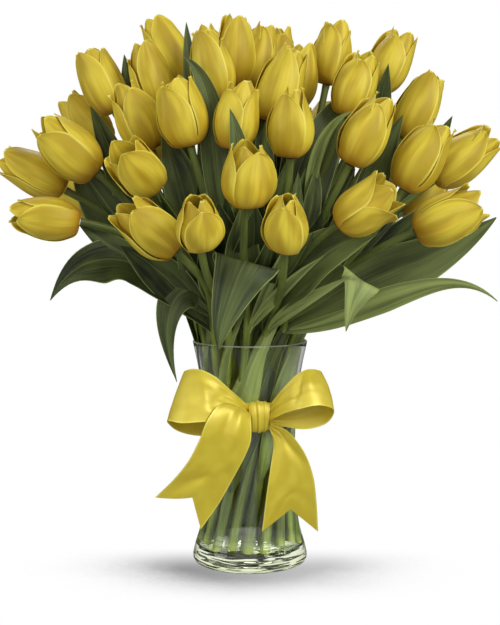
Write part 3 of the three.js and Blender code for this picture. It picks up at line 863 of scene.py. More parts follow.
@dataclass(frozen=True)
class Tulip:
    """One bloom of six petals round a pistil and stamens.

    The petals' heights and widths are shares of the bloom's. A name that ends in play is the range
    of a random draw.
    """

    number: int
    across: float
    up: float
    depth: float
    lean: float
    nod: float
    length: float
    girth: float
    openness: float
    turn: float
    belly: float = 0.44
    belly_rise: float = 0.38
    widest: float = 0.44
    root_width: float = 0.34
    widening: float = 0.66
    blunt: float = 0.985
    point_play: Span = (1.8, 2.3)
    taper_play: Span = (0.72, 0.86)
    least_mouth: float = 0.2
    mouth_gain: float = 0.8
    mouth_play: Span = (-0.08, 0.1)
    shoulder: float = 0.6
    overlap: float = 0.8
    groove_reach: float = 0.16
    rim_wave: float = 0.5
    rim_count: float = 8
    face_wave: float = 0.4
    face_counts: Span = (4, 2)
    tip_wave: float = 0.25
    tip_count: float = 5
    flick_play: Span = (-0.8, 1.8)
    flick_gain: float = 6.0
    flick_from: float = 0.55
    turn_play: Span = (-6, 6)
    twist_play: Span = (-10, 10)
    straight_at: float = 0.35
    foot: float = 0.6
    tone_play: Span = (0, 0.7)
    petal_tone_play: Span = (0, 0.3)
    petal_half: float = 0.4
    edge_thinning: float = 0.7
    tip_thinning: float = 0.6
    rows: int = 26
    columns: int = 17
    outer: Whorl = Whorl(
        first=-90, reach=(0.8, 0.99), inset=1.0, root=3.0, breadth=1.1,
        half_turn=60, flatness=0.8, flare=0.8, groove=0.45, tuck=0.0,
    )
    inner: Whorl = Whorl(
        first=-30, reach=(0.92, 1.0), inset=0.9, root=2.0, breadth=1.14,
        half_turn=64, flatness=0.55, flare=0.2, groove=0.25, tuck=0.12,
    )
    heart: Heart = Heart()

    @property
    def shares(self) -> np.ndarray:
        """Where the petals' rows lie from foot to tip, closer together towards the tip."""
        even = np.linspace(0, 1, self.rows)
        return 0.55 * even + 0.45 * np.sin(math.pi / 2 * even)

    @property
    def axis(self) -> np.ndarray:
        """The way from the stem to the bloom's tip."""
        lean, nod = math.radians(self.lean), math.radians(self.nod)
        return np.array([math.sin(lean) * math.cos(nod), -math.sin(nod), math.cos(lean) * math.cos(nod)])

    @property
    def base(self) -> np.ndarray:
        """The foot of the bloom, on top of its stem."""
        return EYE.placed(self.across, self.up, self.depth) - self.axis * self.length / 2

    @property
    def axes(self) -> np.ndarray:
        """Rows of the bloom's side, back and axis, turned by its own turn."""
        back = unit(np.array([0.0, 1.0, 0.0]) - self.axis * self.axis[1])
        side = np.cross(back, self.axis)
        turn = math.radians(self.turn)
        c, s = math.cos(turn), math.sin(turn)
        return np.array([c * side + s * back, c * back - s * side, self.axis])

    def petal(self, whorl: Whorl, azimuth: float, chance: np.random.Generator) -> np.ndarray:
        """The middle surface of one petal.

        Args:
            whorl: The whorl that it belongs to.
            azimuth: Where it stands round the bloom.
            chance: The bloom's own random draws.

        Returns:
            A grid of points, foot to tip by edge to edge, in the bloom's axes.
        """
        s = self.shares[:, None]
        t = np.linspace(-1, 1, self.columns)[None, :]
        rise = np.minimum(s / self.belly, 1) * math.pi / 2
        past = np.maximum(s - self.belly, 0) / (1 - self.belly)
        reach = chance.uniform(*whorl.reach)
        above = past * (reach - self.belly_rise) / (1 - self.belly_rise)
        mouth = self.least_mouth + self.mouth_gain * self.openness
        mouth = mouth + chance.uniform(*self.mouth_play) - whorl.tuck
        closing = 1 - (1 - mouth) * above**2 * (1 + self.shoulder - self.shoulder * above)
        belly = self.girth / 2 * whorl.inset
        radius = (whorl.root + (belly - whorl.root) * np.sin(rise)) * closing
        swelling = np.sin(math.pi / 2 * np.minimum(s / self.widest, 1))
        beyond = self.blunt * np.maximum(s - self.widest, 0) / (1 - self.widest)
        narrowing = (1 - beyond ** chance.uniform(*self.point_play)) ** chance.uniform(*self.taper_play)
        width = belly * whorl.breadth * (self.root_width + self.widening * swelling) * narrowing
        bend = np.maximum(radius, belly * whorl.flatness)
        turn = np.minimum(width / bend, math.radians(whorl.half_turn)) * t
        wave = chance.uniform(0, 2 * math.pi, 3)
        rim = np.abs(t) ** 3 * np.sin(rise)
        lift = self.overlap * t * np.sin(rise) + whorl.flare * t**6 * np.sin(rise)
        lift = lift - whorl.groove * np.exp(-((t / self.groove_reach) ** 2)) * np.sin(math.pi * s) ** 0.7
        lift = lift + self.rim_wave * np.sin(self.rim_count * s + wave[0]) * rim * past
        along, across = self.face_counts
        lift = lift + self.face_wave * np.sin(along * s + across * t + wave[1]) * np.sin(rise)
        flick = chance.uniform(*self.flick_play) + self.flick_gain * max(0.0, self.openness - self.flick_from)
        out = radius - bend + flick * past**4 + (bend + lift) * np.cos(turn)
        aside = (bend + lift) * np.sin(turn)
        around = azimuth + chance.uniform(*self.turn_play)
        angle = np.radians(around + chance.uniform(*self.twist_play) * (s - self.straight_at))
        share = self.belly_rise * (1 - np.cos(rise)) + (reach - self.belly_rise) * past
        height = self.foot + (self.length - self.foot) * share
        height = height + self.tip_wave * np.sin(self.tip_count * t + wave[2]) * past**5
        x = out * np.cos(angle) - aside * np.sin(angle)
        y = out * np.sin(angle) + aside * np.cos(angle)
        return np.stack([x, y, height], axis=-1)

    def build(self, petal: bpy.types.Material, heart: bpy.types.Material) -> bpy.types.Object:
        """Makes the bloom.

        Args:
            petal: The petals' material.
            heart: The pistil's and stamens' material.

        Returns:
            The piece.
        """
        chance = np.random.default_rng(self.number)
        draft = Draft()
        edge = 1 - self.edge_thinning * np.abs(np.linspace(-1, 1, self.columns)) ** 4
        half = self.petal_half * edge[None, :] * (1 - self.tip_thinning * self.shares[:, None] ** 6)
        tone = chance.uniform(*self.tone_play)
        for whorl in (self.outer, self.inner):
            for step in range(3):
                grid = self.petal(whorl, whorl.first + 120 * step, chance) @ self.axes + self.base
                own_tone = tone + float(chance.uniform(*self.petal_tone_play))
                draft.add_sheet(grid, half, self.shares, own_tone)
        self.heart.add_to(draft, self.length, self.axes, self.base)
        name = f"{self.number:02d}"
        return draft.settle(f"tulip_{name}", Slot.PETALS, f"bloom_{name}", petal, heart)


@dataclass(frozen=True)
class Ring:
    """Seats of the stems at one distance from the vase's axis."""

    seats: int
    radius: float


@dataclass(frozen=True)
class Seat:
    """Where one stem passes the waist, at an angle in radians, and where its bunch holds it there."""

    ring: int
    angle: float
    spot: np.ndarray
    held: np.ndarray
    bunch: str


@dataclass(frozen=True)
class Stems:
    """The stems of all blooms, from their feet in the water to the blooms.

    A stem's parameter runs over like stretches: one up to the waist, one on to the rim, and the
    others to the bloom.
    """

    tulips: tuple[Tulip, ...]
    rings: tuple[Ring, ...] = (Ring(3, 4.3), Ring(9, 11), Ring(13, 18.6), Ring(17, 26))
    waist: float = 122
    rim: float = 180
    twist_slope: float = 0.22
    spread_slope: float = 0.17
    seat_lag: float = 24
    hug: float = 0.55
    lowest_foot: float = 12.5
    foot_stagger: float = 7
    stretches: int = 6
    leaving: float = 0.35
    arriving: float = 0.38
    outer_sectors: int = 8
    seat_gap: float = 0.3
    radius: float = 3.2
    stoutness: float = 1.22
    vase_slimming: float = 0.2
    vase_stretch: Span = (0.06, 0.18)
    bunch_slimming: float = 0.12
    bunch_stretch: Span = (0.3, 0.9)
    bloom_swelling: float = 0.12
    bloom_stretch: Span = (0.985, 1.0)
    radius_play: Span = (0.94, 1.0)
    steps: int = 60
    roundings: int = 12
    sides: int = 12

    def bunch_of(self, ring: int, angle: float) -> str:
        """The bunch that a seat belongs to.

        Args:
            ring: The number of its ring, from the middle.
            angle: Its angle in radians.

        Returns:
            The bunch's name.
        """
        share = fraction(angle / (2 * math.pi))
        if ring > 1:
            return f"outer_{int(share * self.outer_sectors) + 1}"
        return f"inner_{int(share * 2) + 1}"

    def seats(self) -> list[Seat]:
        """Seats the stems: the steepest take the inner rings, in order of azimuth.

        Returns:
            One seat for each tulip.
        """
        away = np.array([tulip.base - [0, 0, self.waist] for tulip in self.tulips])
        azimuth = np.arctan2(away[:, 1], away[:, 0])
        order = np.argsort(np.hypot(away[:, 0], away[:, 1]) / away[:, 2], kind="stable")
        placed: dict[int, tuple[int, float, np.ndarray]] = {}
        taken = 0
        for number, ring in enumerate(self.rings):
            members = sorted(order[taken : taken + ring.seats], key=lambda index: azimuth[index])
            taken += ring.seats
            steps = 2 * math.pi * np.arange(ring.seats) / ring.seats
            behind = azimuth[members] - steps
            turn = math.atan2(np.sin(behind).sum(), np.cos(behind).sum()) - math.radians(self.seat_lag)
            for index, step in zip(members, steps):
                angle = turn + step
                spot = ring.radius * np.array([math.cos(angle), math.sin(angle)])
                placed[int(index)] = (number, angle, spot)
        bunches: dict[str, list[int]] = {}
        for index in range(len(self.tulips)):
            bunches.setdefault(self.bunch_of(*placed[index][:2]), []).append(index)
        found: dict[int, Seat] = {}
        for bunch, indices in bunches.items():
            middle = np.mean([placed[index][2] for index in indices], axis=0)
            for index in indices:
                ring_number, angle, spot = placed[index]
                held = np.append(middle + (spot - middle) * self.hug, self.waist)
                found[index] = Seat(ring_number, angle, spot, held, bunch)
        return [found[index] for index in range(len(self.tulips))]

    def line(self, index: int, seat: Seat, shares: np.ndarray) -> np.ndarray:
        """Points of one stem's centre line, two straight stretches and a bend into the bloom.

        Args:
            index: The stem's place among the tulips.
            seat: Its seat.
            shares: Parameters from 0 at the foot to 1 at the bloom.

        Returns:
            One point for each parameter.
        """
        foot = self.lowest_foot + self.foot_stagger * fraction(index * GOLDEN_SHARE)
        outermost = self.rings[-1].radius
        twist, spread = self.twist_slope / outermost, self.spread_slope / outermost
        below, above = (self.waist - foot) * twist, self.rim - self.waist
        x, y = seat.spot
        start = np.array([x + y * below, y - x * below, foot])
        rim = np.array([x + above * (x * spread - y * twist), y + above * (y * spread + x * twist), self.rim])
        tulip = self.tulips[index]
        end = tulip.base - tulip.axis * self.seat_gap
        span = np.linalg.norm(end - rim)
        rising = unit(rim - seat.held)
        leaving, arriving = rising * span * self.leaving, tulip.axis * span * self.arriving
        corners = [rim, rim + leaving, end - arriving, end]
        place = np.asarray(shares) * self.stretches
        lower = start + (seat.held - start) * np.clip(place, 0, 1)[:, None]
        upper = seat.held + (rim - seat.held) * np.clip(place - 1, 0, 1)[:, None]
        bent = bezier(corners, np.clip((place - 2) / (self.stretches - 2), 0, 1))
        straight = np.where((place < 1)[:, None], lower, upper)
        return np.where((place < 2)[:, None], straight, bent)

    def smooth_line(self, index: int, seat: Seat) -> np.ndarray:
        """Points of one stem's centre line, with its two corners rounded.

        Args:
            index: The stem's place among the tulips.
            seat: Its seat.

        Returns:
            One point for each step.
        """
        path = self.line(index, seat, np.linspace(0, 1, self.steps))
        for _ in range(self.roundings):
            path[1:-1] = 0.5 * path[1:-1] + 0.25 * (path[:-2] + path[2:])
        return path

    def build(self, material: bpy.types.Material) -> None:
        """Makes one piece of stems for each bunch.

        Args:
            material: The stems' material.
        """
        shares = np.linspace(0, 1, self.steps)
        slimming = self.vase_slimming * eased(shares, *self.vase_stretch)
        slimming = slimming + self.bunch_slimming * eased(shares, *self.bunch_stretch)
        swelling = self.bloom_swelling * eased(shares, *self.bloom_stretch)
        radii = self.radius * (self.stoutness - slimming + swelling)
        drafts: dict[str, Draft] = {}
        for index, seat in enumerate(self.seats()):
            chance = np.random.default_rng(STEM_SEED + index)
            own_radii = radii * chance.uniform(*self.radius_play)
            draft = drafts.setdefault(seat.bunch, Draft())
            draft.add_tube(self.smooth_line(index, seat), own_radii, self.sides, float(chance.uniform()))
        for bunch, draft in drafts.items():
            draft.settle(f"stems_{bunch}", Slot.GREENS, f"leafy_stems_{bunch}", material)


@dataclass(frozen=True)
class Leaf:
    """A blade from its root on a stem over a bend and a reach to its tip.

    Its way is the direction that the blade faces, or if it folds, the direction of its width. Its tone goes
    from 0, dark, to 1, pale, and is partly its own colour and partly painted light and shade for how the
    light falls on it. Its lower edge may bulge at a share of its length, over a reach of it, by a height.
    """

    root: Triple
    bend: Triple
    reach: Triple
    tip: Triple
    width: float
    way: Triple = FRONT
    folds: bool = False
    tone: float = 0.3
    taper: float = 1.8
    bulge: Triple = (0.5, 1.0, 0.0)


# The tones are partly painted light and shade: the leaves on the left are set darker, and those on the right,
# where the light falls, paler.
LEAVES = (
    Leaf(
        (-28, 190, -28), (-80, 250, -45), (-130, 266, -60), (-160, 212, -72), 46, FRONT_UP, tone=0.2,
        taper=0.95, bulge=(0.68, 0.13, 11),
    ),
    Leaf((-34, 188, -30), (-60, 225, -50), (-80, 245, -62), (-104, 256, -75), 30, tone=0.15),
    Leaf(
        (-45, 205, -10), (-85, 245, -14), (-114, 288, -18), (-142, 328, -16), 46, tone=0.15,
        taper=2.4,
    ),
    Leaf((-50, 200, -40), (-85, 240, -50), (-110, 255, -52), (-136, 272, -50), 22),
    Leaf((-16, 190, -30), (-34, 246, -48), (-86, 226, -56), (-59, 146, -50), 32, taper=1.2),
    Leaf((34, 184, -30), (92, 190, -62), (150, 251, -72), (198, 211, -80), 22, FRONT_UP, tone=0.7, taper=1.1),
    Leaf((34, 190, -10), (80, 232, -14), (140, 235, -18), (196, 278, -28), 44, tone=0.5),
    Leaf((22, 200, -56), (36, 232, -92), (66, 262, -104), (101, 264, -112), 40, FRONT_UP, tone=0.65),
    Leaf((50, 200, -5), (85, 225, 0), (120, 255, 0), (146, 292, -4), 38),
    Leaf((32, 230, -40), (38, 300, -42), (52, 350, -34), (96, 388, -16), 36),
    Leaf((40, 250, -60), (44, 318, -74), (56, 352, -88), (81, 362, -100), 9, tone=0.9),
    Leaf((78, 250, -30), (88, 290, -36), (104, 325, -42), (121, 359, -45), 24),
    Leaf((90, 300, 14), (97, 335, 12), (103, 370, 6), (109, 399, -4), 20),
    Leaf((112, 270, 4), (130, 300, 10), (147, 335, 12), (160, 358, 12), 18),
    Leaf((-10, 250, -50), (-38, 300, -72), (-16, 378, -70), (-52, 405, -64), 22),
    Leaf((-38, 330, 0), (-44, 360, 0), (-48, 400, 0), (-50, 431, 0), 14),
    Leaf((-40, 260, -50), (-48, 290, -56), (-58, 320, -58), (-70, 346, -56), 28),
    Leaf((-8, 250, -70), (-4, 300, -100), (-6, 335, -106), (-16, 364, -106), 16),
    Leaf((-80, 270, -10), (-96, 300, -18), (-112, 335, -22), (-126, 366, -24), 22),
    Leaf((-84, 330, 24), (-90, 355, 24), (-96, 385, 22), (-99, 406, 22), 16),
    Leaf((44, 240, -60), (48, 270, -68), (52, 300, -72), (53, 320, -74), 14),
    Leaf((30, 230, -70), (34, 260, -80), (38, 290, -86), (38, 314, -88), 12),
    Leaf((-4, 215, -55), (-8, 240, -72), (-6, 262, -84), (-6, 290, -86), 26),
    Leaf((-30, 196, 26), (-70, 230, 50), (-114, 270, 60), (-132, 238, 66), 42, BACK_UP),
    Leaf((28, 192, 26), (70, 235, 60), (112, 262, 78), (136, 232, 90), 44, BACK_UP),
    Leaf((-20, 220, 24), (-40, 280, 44), (-60, 330, 40), (-66, 372, 50), 30, BACK),
    Leaf((-4, 220, 26), (-10, 270, 50), (20, 320, 60), (22, 352, 66), 30, BACK),
    Leaf((36, 236, 30), (52, 270, 42), (75, 308, 50), (82, 327, 60), 30, BACK),
    Leaf((30, 220, 14), (66, 260, 24), (104, 300, 26), (128, 330, 30), 30, BACK),
    Leaf((-50, 246, 22), (-70, 268, 32), (-98, 300, 36), (-116, 330, 40), 30, BACK),
    Leaf(
        (2, 190, -34), (5, 226, -64), (-3.5, 243, -98), (-25, 172, -110), 50, (0.966, 0, -0.26), True,
        tone=0.36, taper=1.45,
    ),
    Leaf(
        (30, 190, -40), (66, 215, -78), (88, 228, -100), (77, 187, -104), 38, (0.82, 0, -0.575), True,
        tone=0.5, taper=1.15,
    ),
    Leaf(
        (-16, 192, 32), (-50, 240, 80), (-74, 252, 104), (-92, 230, 132), 44, (0.8, 0.6, 0), True,
        taper=1.15,
    ),
    Leaf((-4, 192, 36), (-8, 236, 86), (-13, 244, 116), (-14, 190, 146), 44, (1, 0, 0), True, taper=1.15),
    Leaf((22, 192, 30), (48, 232, 72), (64, 244, 94), (86, 204, 124), 44, (1, -0.4, 0), True, taper=1.15),
    Leaf((4, 184, -40), (12, 206, -72), (30, 228, -96), (60, 248, -114), 9, tone=1.0),
    Leaf((10, 184, -40), (22, 200, -74), (46, 214, -98), (82, 232, -112), 10, tone=0.9),
    Leaf((-2, 184, -40), (8, 212, -70), (26, 246, -90), (42, 276, -96), 8, tone=0.9),
)


@dataclass(frozen=True)
class Tier:
    """Filler blades that are tried inside the bunch, all about one height."""

    tries: int
    root_radius: Span
    tip_radius: Span
    tip_height: Span
    width: Span


@dataclass(frozen=True)
class Foliage:
    """All leaves, each rooted on the stem nearest to its wanted root.

    A name that ends in play is the range of a random draw. The blades turn by radians.
    """

    stems: Stems
    vase: Vase
    leaves: tuple[Leaf, ...] = LEAVES
    tone_play: Span = (-0.15, 0.15)
    lowest_root: float = 126
    rows: int = 36
    columns: int = 13
    half: float = 0.42
    edge_thinning: float = 0.75
    tip_thinning: float = 0.6
    root_choices: int = 37
    neck: float = 0.2
    widest: float = 0.45
    cup: float = 0.22
    folded_cup: float = 0.35
    cup_change: float = 0.5
    turn_play: Span = (-0.35, 0.35)
    turn_stretch: Span = (0.4, 1.0)
    ripple: float = 0.06
    ripple_counts: Span = (11, 8)
    ripple_stretch: Span = (0.15, 0.4)
    keel: float = 0.6
    keel_reach: float = 0.12
    crest_back: float = 9
    crest_over: float = 7
    crest_fall: Span = (5, 24)
    tiers: tuple[Tier, ...] = (
        Tier(30, (6, 20), (10, 42), (330, 385), (24, 34)),
        Tier(54, (10, 28), (46, 92), (300, 345), (28, 42)),
        Tier(48, (16, 32), (84, 126), (262, 300), (28, 40)),
    )
    filler_root: float = 186
    filler_bend: float = 228
    filler_drop: float = 42
    filler_start: float = 0.1
    filler_play: Span = (-0.1, 0.1)
    filler_opening: Span = (1.5, 4)
    filler_reach: float = 0.72
    filler_tone: Span = (0.0, 0.5)
    clearance: float = 1.0
    bloom_share: float = 0.8
    root_rows: int = 4
    sheath_count: int = 13
    sheath_play: Span = (-0.3, 0.3)
    sheath_foot: Span = (34, 92)
    sheath_heights: tuple[float, ...] = (112, 146, 176)
    sheath_top: Span = (236, 270)
    sheath_spread: Span = (56, 84)
    sheath_width: Span = (18, 26)
    sheath_gap: float = 1.1
    sheath_tone: Span = (0.15, 0.9)

    @property
    def shares(self) -> np.ndarray:
        """Where a blade's rows lie from root to tip."""
        return np.linspace(0, 1, self.rows)

    def root_of(self, wanted: np.ndarray, lines: list[np.ndarray]) -> tuple[int, np.ndarray]:
        """Where a leaf grows from.

        Args:
            wanted: The root as the leaf gives it.
            lines: Points of each stem.

        Returns:
            The number of the stem nearest to the wanted root, and the point on it.
        """
        best = (math.inf, 0, wanted)
        for index, line in enumerate(lines):
            near = line[line[:, 2] >= self.lowest_root]
            gaps = np.linalg.norm(near - wanted, axis=1)
            place = int(gaps.argmin())
            if gaps[place] < best[0]:
                best = (float(gaps[place]), index, near[place])
        return best[1], best[2]

    def spine(self, leaf: Leaf, corners: list[np.ndarray]) -> np.ndarray:
        """The middle line of a leaf, which turns over a tight crest where the leaf folds.

        Args:
            leaf: The leaf.
            corners: Four that shape the line, or more that it passes through.

        Returns:
            One point for each row.
        """
        if len(corners) > 4:
            return spline(np.array(corners), self.shares)
        if not leaf.folds:
            return bezier(corners, self.shares)
        root, bend, crest, tip = corners
        outward = unit(crest * [1, 1, 0] - root * [1, 1, 0])
        doubled = 2 * self.shares
        rise = bezier([root, bend, crest - outward * self.crest_back, crest], np.clip(doubled, 0, 1))
        out, up = self.crest_fall
        fall = [crest, crest + outward * self.crest_over, tip + outward * out + [0, 0, up], tip]
        return np.where(doubled[:, None] < 1, rise, bezier(fall, np.clip(doubled - 1, 0, 1)))

    def blade(self, leaf: Leaf, corners: list[np.ndarray], chance: np.random.Generator) -> np.ndarray:
        """The middle surface of one leaf.

        Args:
            leaf: The leaf, for its width and the way that it faces.
            corners: Its root, bend, reach and tip.
            chance: The leaf's own random draws.

        Returns:
            A grid of points, root to tip by edge to edge.
        """
        shares = self.shares
        spine = self.spine(leaf, corners)
        heading = unit(np.gradient(spine, axis=0))
        way = np.broadcast_to(np.array(leaf.way, float), heading.shape)
        side = way if leaf.folds else np.cross(heading, way)
        side = unit(side - heading * (side * heading).sum(axis=1, keepdims=True))
        free = 0 if leaf.folds else 1
        turned = chance.uniform(*self.turn_play) * eased(shares, *self.turn_stretch) * free
        over = np.cross(side, heading)
        side = side * np.cos(turned)[:, None] + over * np.sin(turned)[:, None]
        hollow = np.cross(side, heading)
        swelling = np.sin(math.pi / 2 * np.minimum(1, shares / self.widest))
        past = np.maximum(0, (shares - self.widest) / (1 - self.widest))
        taper = 1 - 0.99 * past**leaf.taper
        reach_out = leaf.width / 2 * (self.neck + (1 - self.neck) * swelling) * taper
        t = np.linspace(-1, 1, self.columns)[None, :, None]
        wave = chance.uniform(0, 2 * math.pi, 3)
        one, other = self.ripple_counts
        ripple = np.sin(one * shares + wave[0])[:, None, None] * np.maximum(t, 0) ** 2
        ripple = ripple + np.sin(other * shares + wave[1])[:, None, None] * np.maximum(-t, 0) ** 2
        calm = (eased(shares, *self.ripple_stretch) * (1 - 0.6 * shares))[:, None, None]
        cup = self.cup * (self.folded_cup if leaf.folds else 1 + self.cup_change * math.sin(wave[2]))
        lift = cup * reach_out[:, None, None] * np.abs(t) ** 1.6 + self.ripple * leaf.width * ripple * calm
        keel = -self.keel * np.exp(-((t / self.keel_reach) ** 2)) * (1 - shares)[:, None, None]
        place, spread, height = leaf.bulge
        swell = height * np.exp(-(((shares - place) / spread) ** 2))[:, None, None] * np.minimum(t, 0)
        across = side[:, None] * (t * reach_out[:, None, None] + swell)
        return spine[:, None] + across + hollow[:, None] * (lift + keel)

    def fillers(self) -> list[Leaf]:
        """Plans blades that fill the bunch, spread evenly round it.

        Returns:
            The candidates, of which only those clear of the blooms are made.
        """
        chance = np.random.default_rng(FILLER_SEED)
        gain, more = self.filler_opening
        found = []
        for tier in self.tiers:
            for step in range(tier.tries):
                turn = 2 * math.pi * fraction(step * GOLDEN_SHARE + self.filler_start)
                angle = turn + chance.uniform(*self.filler_play)
                x, y = math.cos(angle), math.sin(angle)
                low, high = chance.uniform(*tier.root_radius), chance.uniform(*tier.tip_radius)
                top = chance.uniform(*tier.tip_height)
                radii = (low, low * gain + more, high * self.filler_reach, high)
                heights = (self.filler_root, self.filler_bend, top - self.filler_drop, top)
                points = [(x * radius, height, y * radius) for radius, height in zip(radii, heights)]
                width = chance.uniform(*tier.width)
                found.append(Leaf(*points, width, (x, y, 0.15), tone=chance.uniform(*self.filler_tone)))
        return found

    def sheaths(self) -> list[tuple[str, np.ndarray, float]]:
        """Shapes the leaves that clasp the stems inside the vase.

        Returns:
            The bunch, middle surface and tone of each.
        """
        chance = np.random.default_rng(SHEATH_SEED)
        twist = self.stems.twist_slope / self.stems.rings[-1].radius
        found = []
        for step in range(self.sheath_count):
            angle = 2 * math.pi * (step + chance.uniform(*self.sheath_play)) / self.sheath_count
            foot, top = chance.uniform(*self.sheath_foot), chance.uniform(*self.sheath_top)
            spread = chance.uniform(*self.sheath_spread)
            corners = []
            for height in (foot, (foot + self.sheath_heights[0]) / 2, *self.sheath_heights, top):
                turned = angle + (height - self.stems.waist) * twist
                inside = float(self.vase.radius(height)) - self.vase.wall - self.sheath_gap
                radius = spread if height == top else inside
                corners.append(np.array([radius * math.cos(turned), radius * math.sin(turned), height]))
            inward = (-math.cos(angle), -math.sin(angle), 0.0)
            leaf = Leaf(*corners[:4], chance.uniform(*self.sheath_width), inward)
            bunch = self.stems.bunch_of(len(self.stems.rings) - 1, angle)
            found.append((bunch, self.blade(leaf, corners, chance), float(chance.uniform(*self.sheath_tone))))
        return found

    def is_clear(self, grid: np.ndarray) -> bool:
        """Whether a blade stays outside every bloom, apart from its first rows.

        Args:
            grid: The blade's middle surface.

        Returns:
            True if it cuts none.
        """
        points = grid[self.root_rows :].reshape(-1, 3)
        along = np.linspace(0.1, 0.9, 7)[:, None]
        for tulip in self.stems.tulips:
            line = tulip.base + tulip.axis * tulip.length * along
            gaps = np.linalg.norm(points[:, None] - line[None], axis=2)
            if gaps.min() < tulip.girth * self.bloom_share / 2 + self.clearance:
                return False
        return True

    def build(self, material: bpy.types.Material) -> None:
        """Makes one piece of leaves for each bunch that carries any.

        Args:
            material: The leaves' material.
        """
        seats = self.stems.seats()
        choices = np.linspace(0, 1, self.root_choices)
        lines = [self.stems.line(index, seat, choices) for index, seat in enumerate(seats)]
        edge = 1 - self.edge_thinning * np.abs(np.linspace(-1, 1, self.columns)) ** 3
        half = self.half * edge[None, :] * (1 - self.tip_thinning * self.shares[:, None] ** 4)
        candidates = [*self.leaves, *self.fillers()]
        blades = []
        for number, leaf in enumerate(candidates):
            chance = np.random.default_rng(LEAF_SEED + number)
            index, root = self.root_of(EYE.placed(*leaf.root), lines)
            corners = [root, *(EYE.placed(*point) for point in (leaf.bend, leaf.reach, leaf.tip))]
            grid = self.blade(leaf, corners, chance)
            if number < len(self.leaves) or self.is_clear(grid):
                blades.append((seats[index].bunch, grid, leaf.tone + float(chance.uniform(*self.tone_play))))
        LOG.info("%d leaves kept of %d", len(blades), len(candidates))
        drafts: dict[str, Draft] = {}
        for bunch, grid, tone in [*blades, *self.sheaths()]:
            drafts.setdefault(bunch, Draft()).add_sheet(grid, half, self.shares, tone)
        for bunch, draft in drafts.items():
            draft.settle(f"leaves_{bunch}", Slot.GREENS, f"leafy_stems_{bunch}", material)


@dataclass(frozen=True)
class Vase:
    """A flared glass vase with a thick floor, and the water in it.

    The outline is height and radius, the underside radius and height. The meniscus is how far each
    point of the water's climbing edge lies inward and below the level.
    """

    outline: tuple = ((0, 42), (4, 46), (12, 45), (30, 40), (62, 37), (105, 36.5), (152, 40.5), (180, 46))
    underside: tuple = ((0, 0.9), (30, 0.6), (38, 0), (42, 0.4), (44.6, 1.6))
    wall: float = 2.6
    floor: float = 10
    bowl: float = 9
    water_level: float = 120
    middle_drop: float = 1.5
    wet: float = 0.12
    meniscus: tuple = ((0.6, 0.5), (1.4, 1.0), (2.6, 1.3), (4.5, 1.4))
    segments: int = 96
    crease: float = 60

    def radius(self, height: np.ndarray) -> np.ndarray:
        """The outer radius at each height, smooth between the outline's points."""
        points = spline(np.array(self.outline, float), np.linspace(0, 1, 400))
        return np.interp(height, points[:, 0], points[:, 1])

    def inside(self, heights: np.ndarray) -> np.ndarray:
        """The outline of the glass's inner wall at these heights."""
        return np.stack([self.radius(heights) - self.wall, heights], axis=1)

    def build_glass(self, material: bpy.types.Material) -> None:
        """Makes the glass.

        Args:
            material: The clear glass.
        """
        top, lip = self.outline[-1][0], self.wall / 2
        up = np.linspace(self.outline[1][0], top - lip, 60)
        outer = np.stack([self.radius(up), up], axis=1)
        angle = np.linspace(0, math.pi, 9)[1:-1]
        middle = self.radius(np.array([top]))[0] - lip
        rim = np.stack([middle + lip * np.cos(angle), top - lip + lip * np.sin(angle)], axis=1)
        inner = self.inside(np.linspace(top - lip, self.floor + self.bowl, 58))
        angle = np.linspace(0, math.pi / 2, 10)[1:]
        bowl = inner[-1] + self.bowl * np.stack([np.cos(angle) - 1, -np.sin(angle)], axis=1)
        draft = Draft()
        outline = np.vstack([self.underside, outer, rim, inner, bowl, [[0, self.floor]]])
        draft.add_turned(outline, self.segments)
        draft.settle("glass_vase", Slot.GLASS, "vase", material, crease=self.crease)

    def build_water(self, material: bpy.types.Material) -> None:
        """Makes the water, which wets the glass and climbs a little up it.

        Args:
            material: The clear water.
        """
        up = np.linspace(self.floor + self.bowl, self.water_level, 40)
        wall = self.inside(up) + [self.wet, 0]
        angle = np.linspace(math.pi / 2, 0, 10)[:-1]
        reach = self.bowl + self.wet
        bowl = wall[0] + reach * np.stack([np.cos(angle) - 1, -np.sin(angle)], axis=1)
        top = [wall[-1][0], self.water_level] - np.array(self.meniscus)
        low, high = [0, self.floor - self.wet], [0, self.water_level - self.middle_drop]
        draft = Draft()
        draft.add_turned(np.vstack([low, bowl, wall, top, high]), self.segments)
        draft.settle("vase_water", Slot.WATER, "water", material, crease=self.crease)


@dataclass(frozen=True)
class Dent:
    """A soft ridge or hollow in a ribbon, at a share along and across it."""

    along: float
    across: float
    reach: float
    breadth: float
    slant: float
    height: float

    def lift(self, u: np.ndarray, t: np.ndarray) -> np.ndarray:
        """How far it lifts the ribbon at shares u along and t across."""
        onward = (u - self.along) + self.slant * (t - self.across)
        return self.height * np.exp(-((onward / self.reach) ** 2) - ((t - self.across) / self.breadth) ** 2)


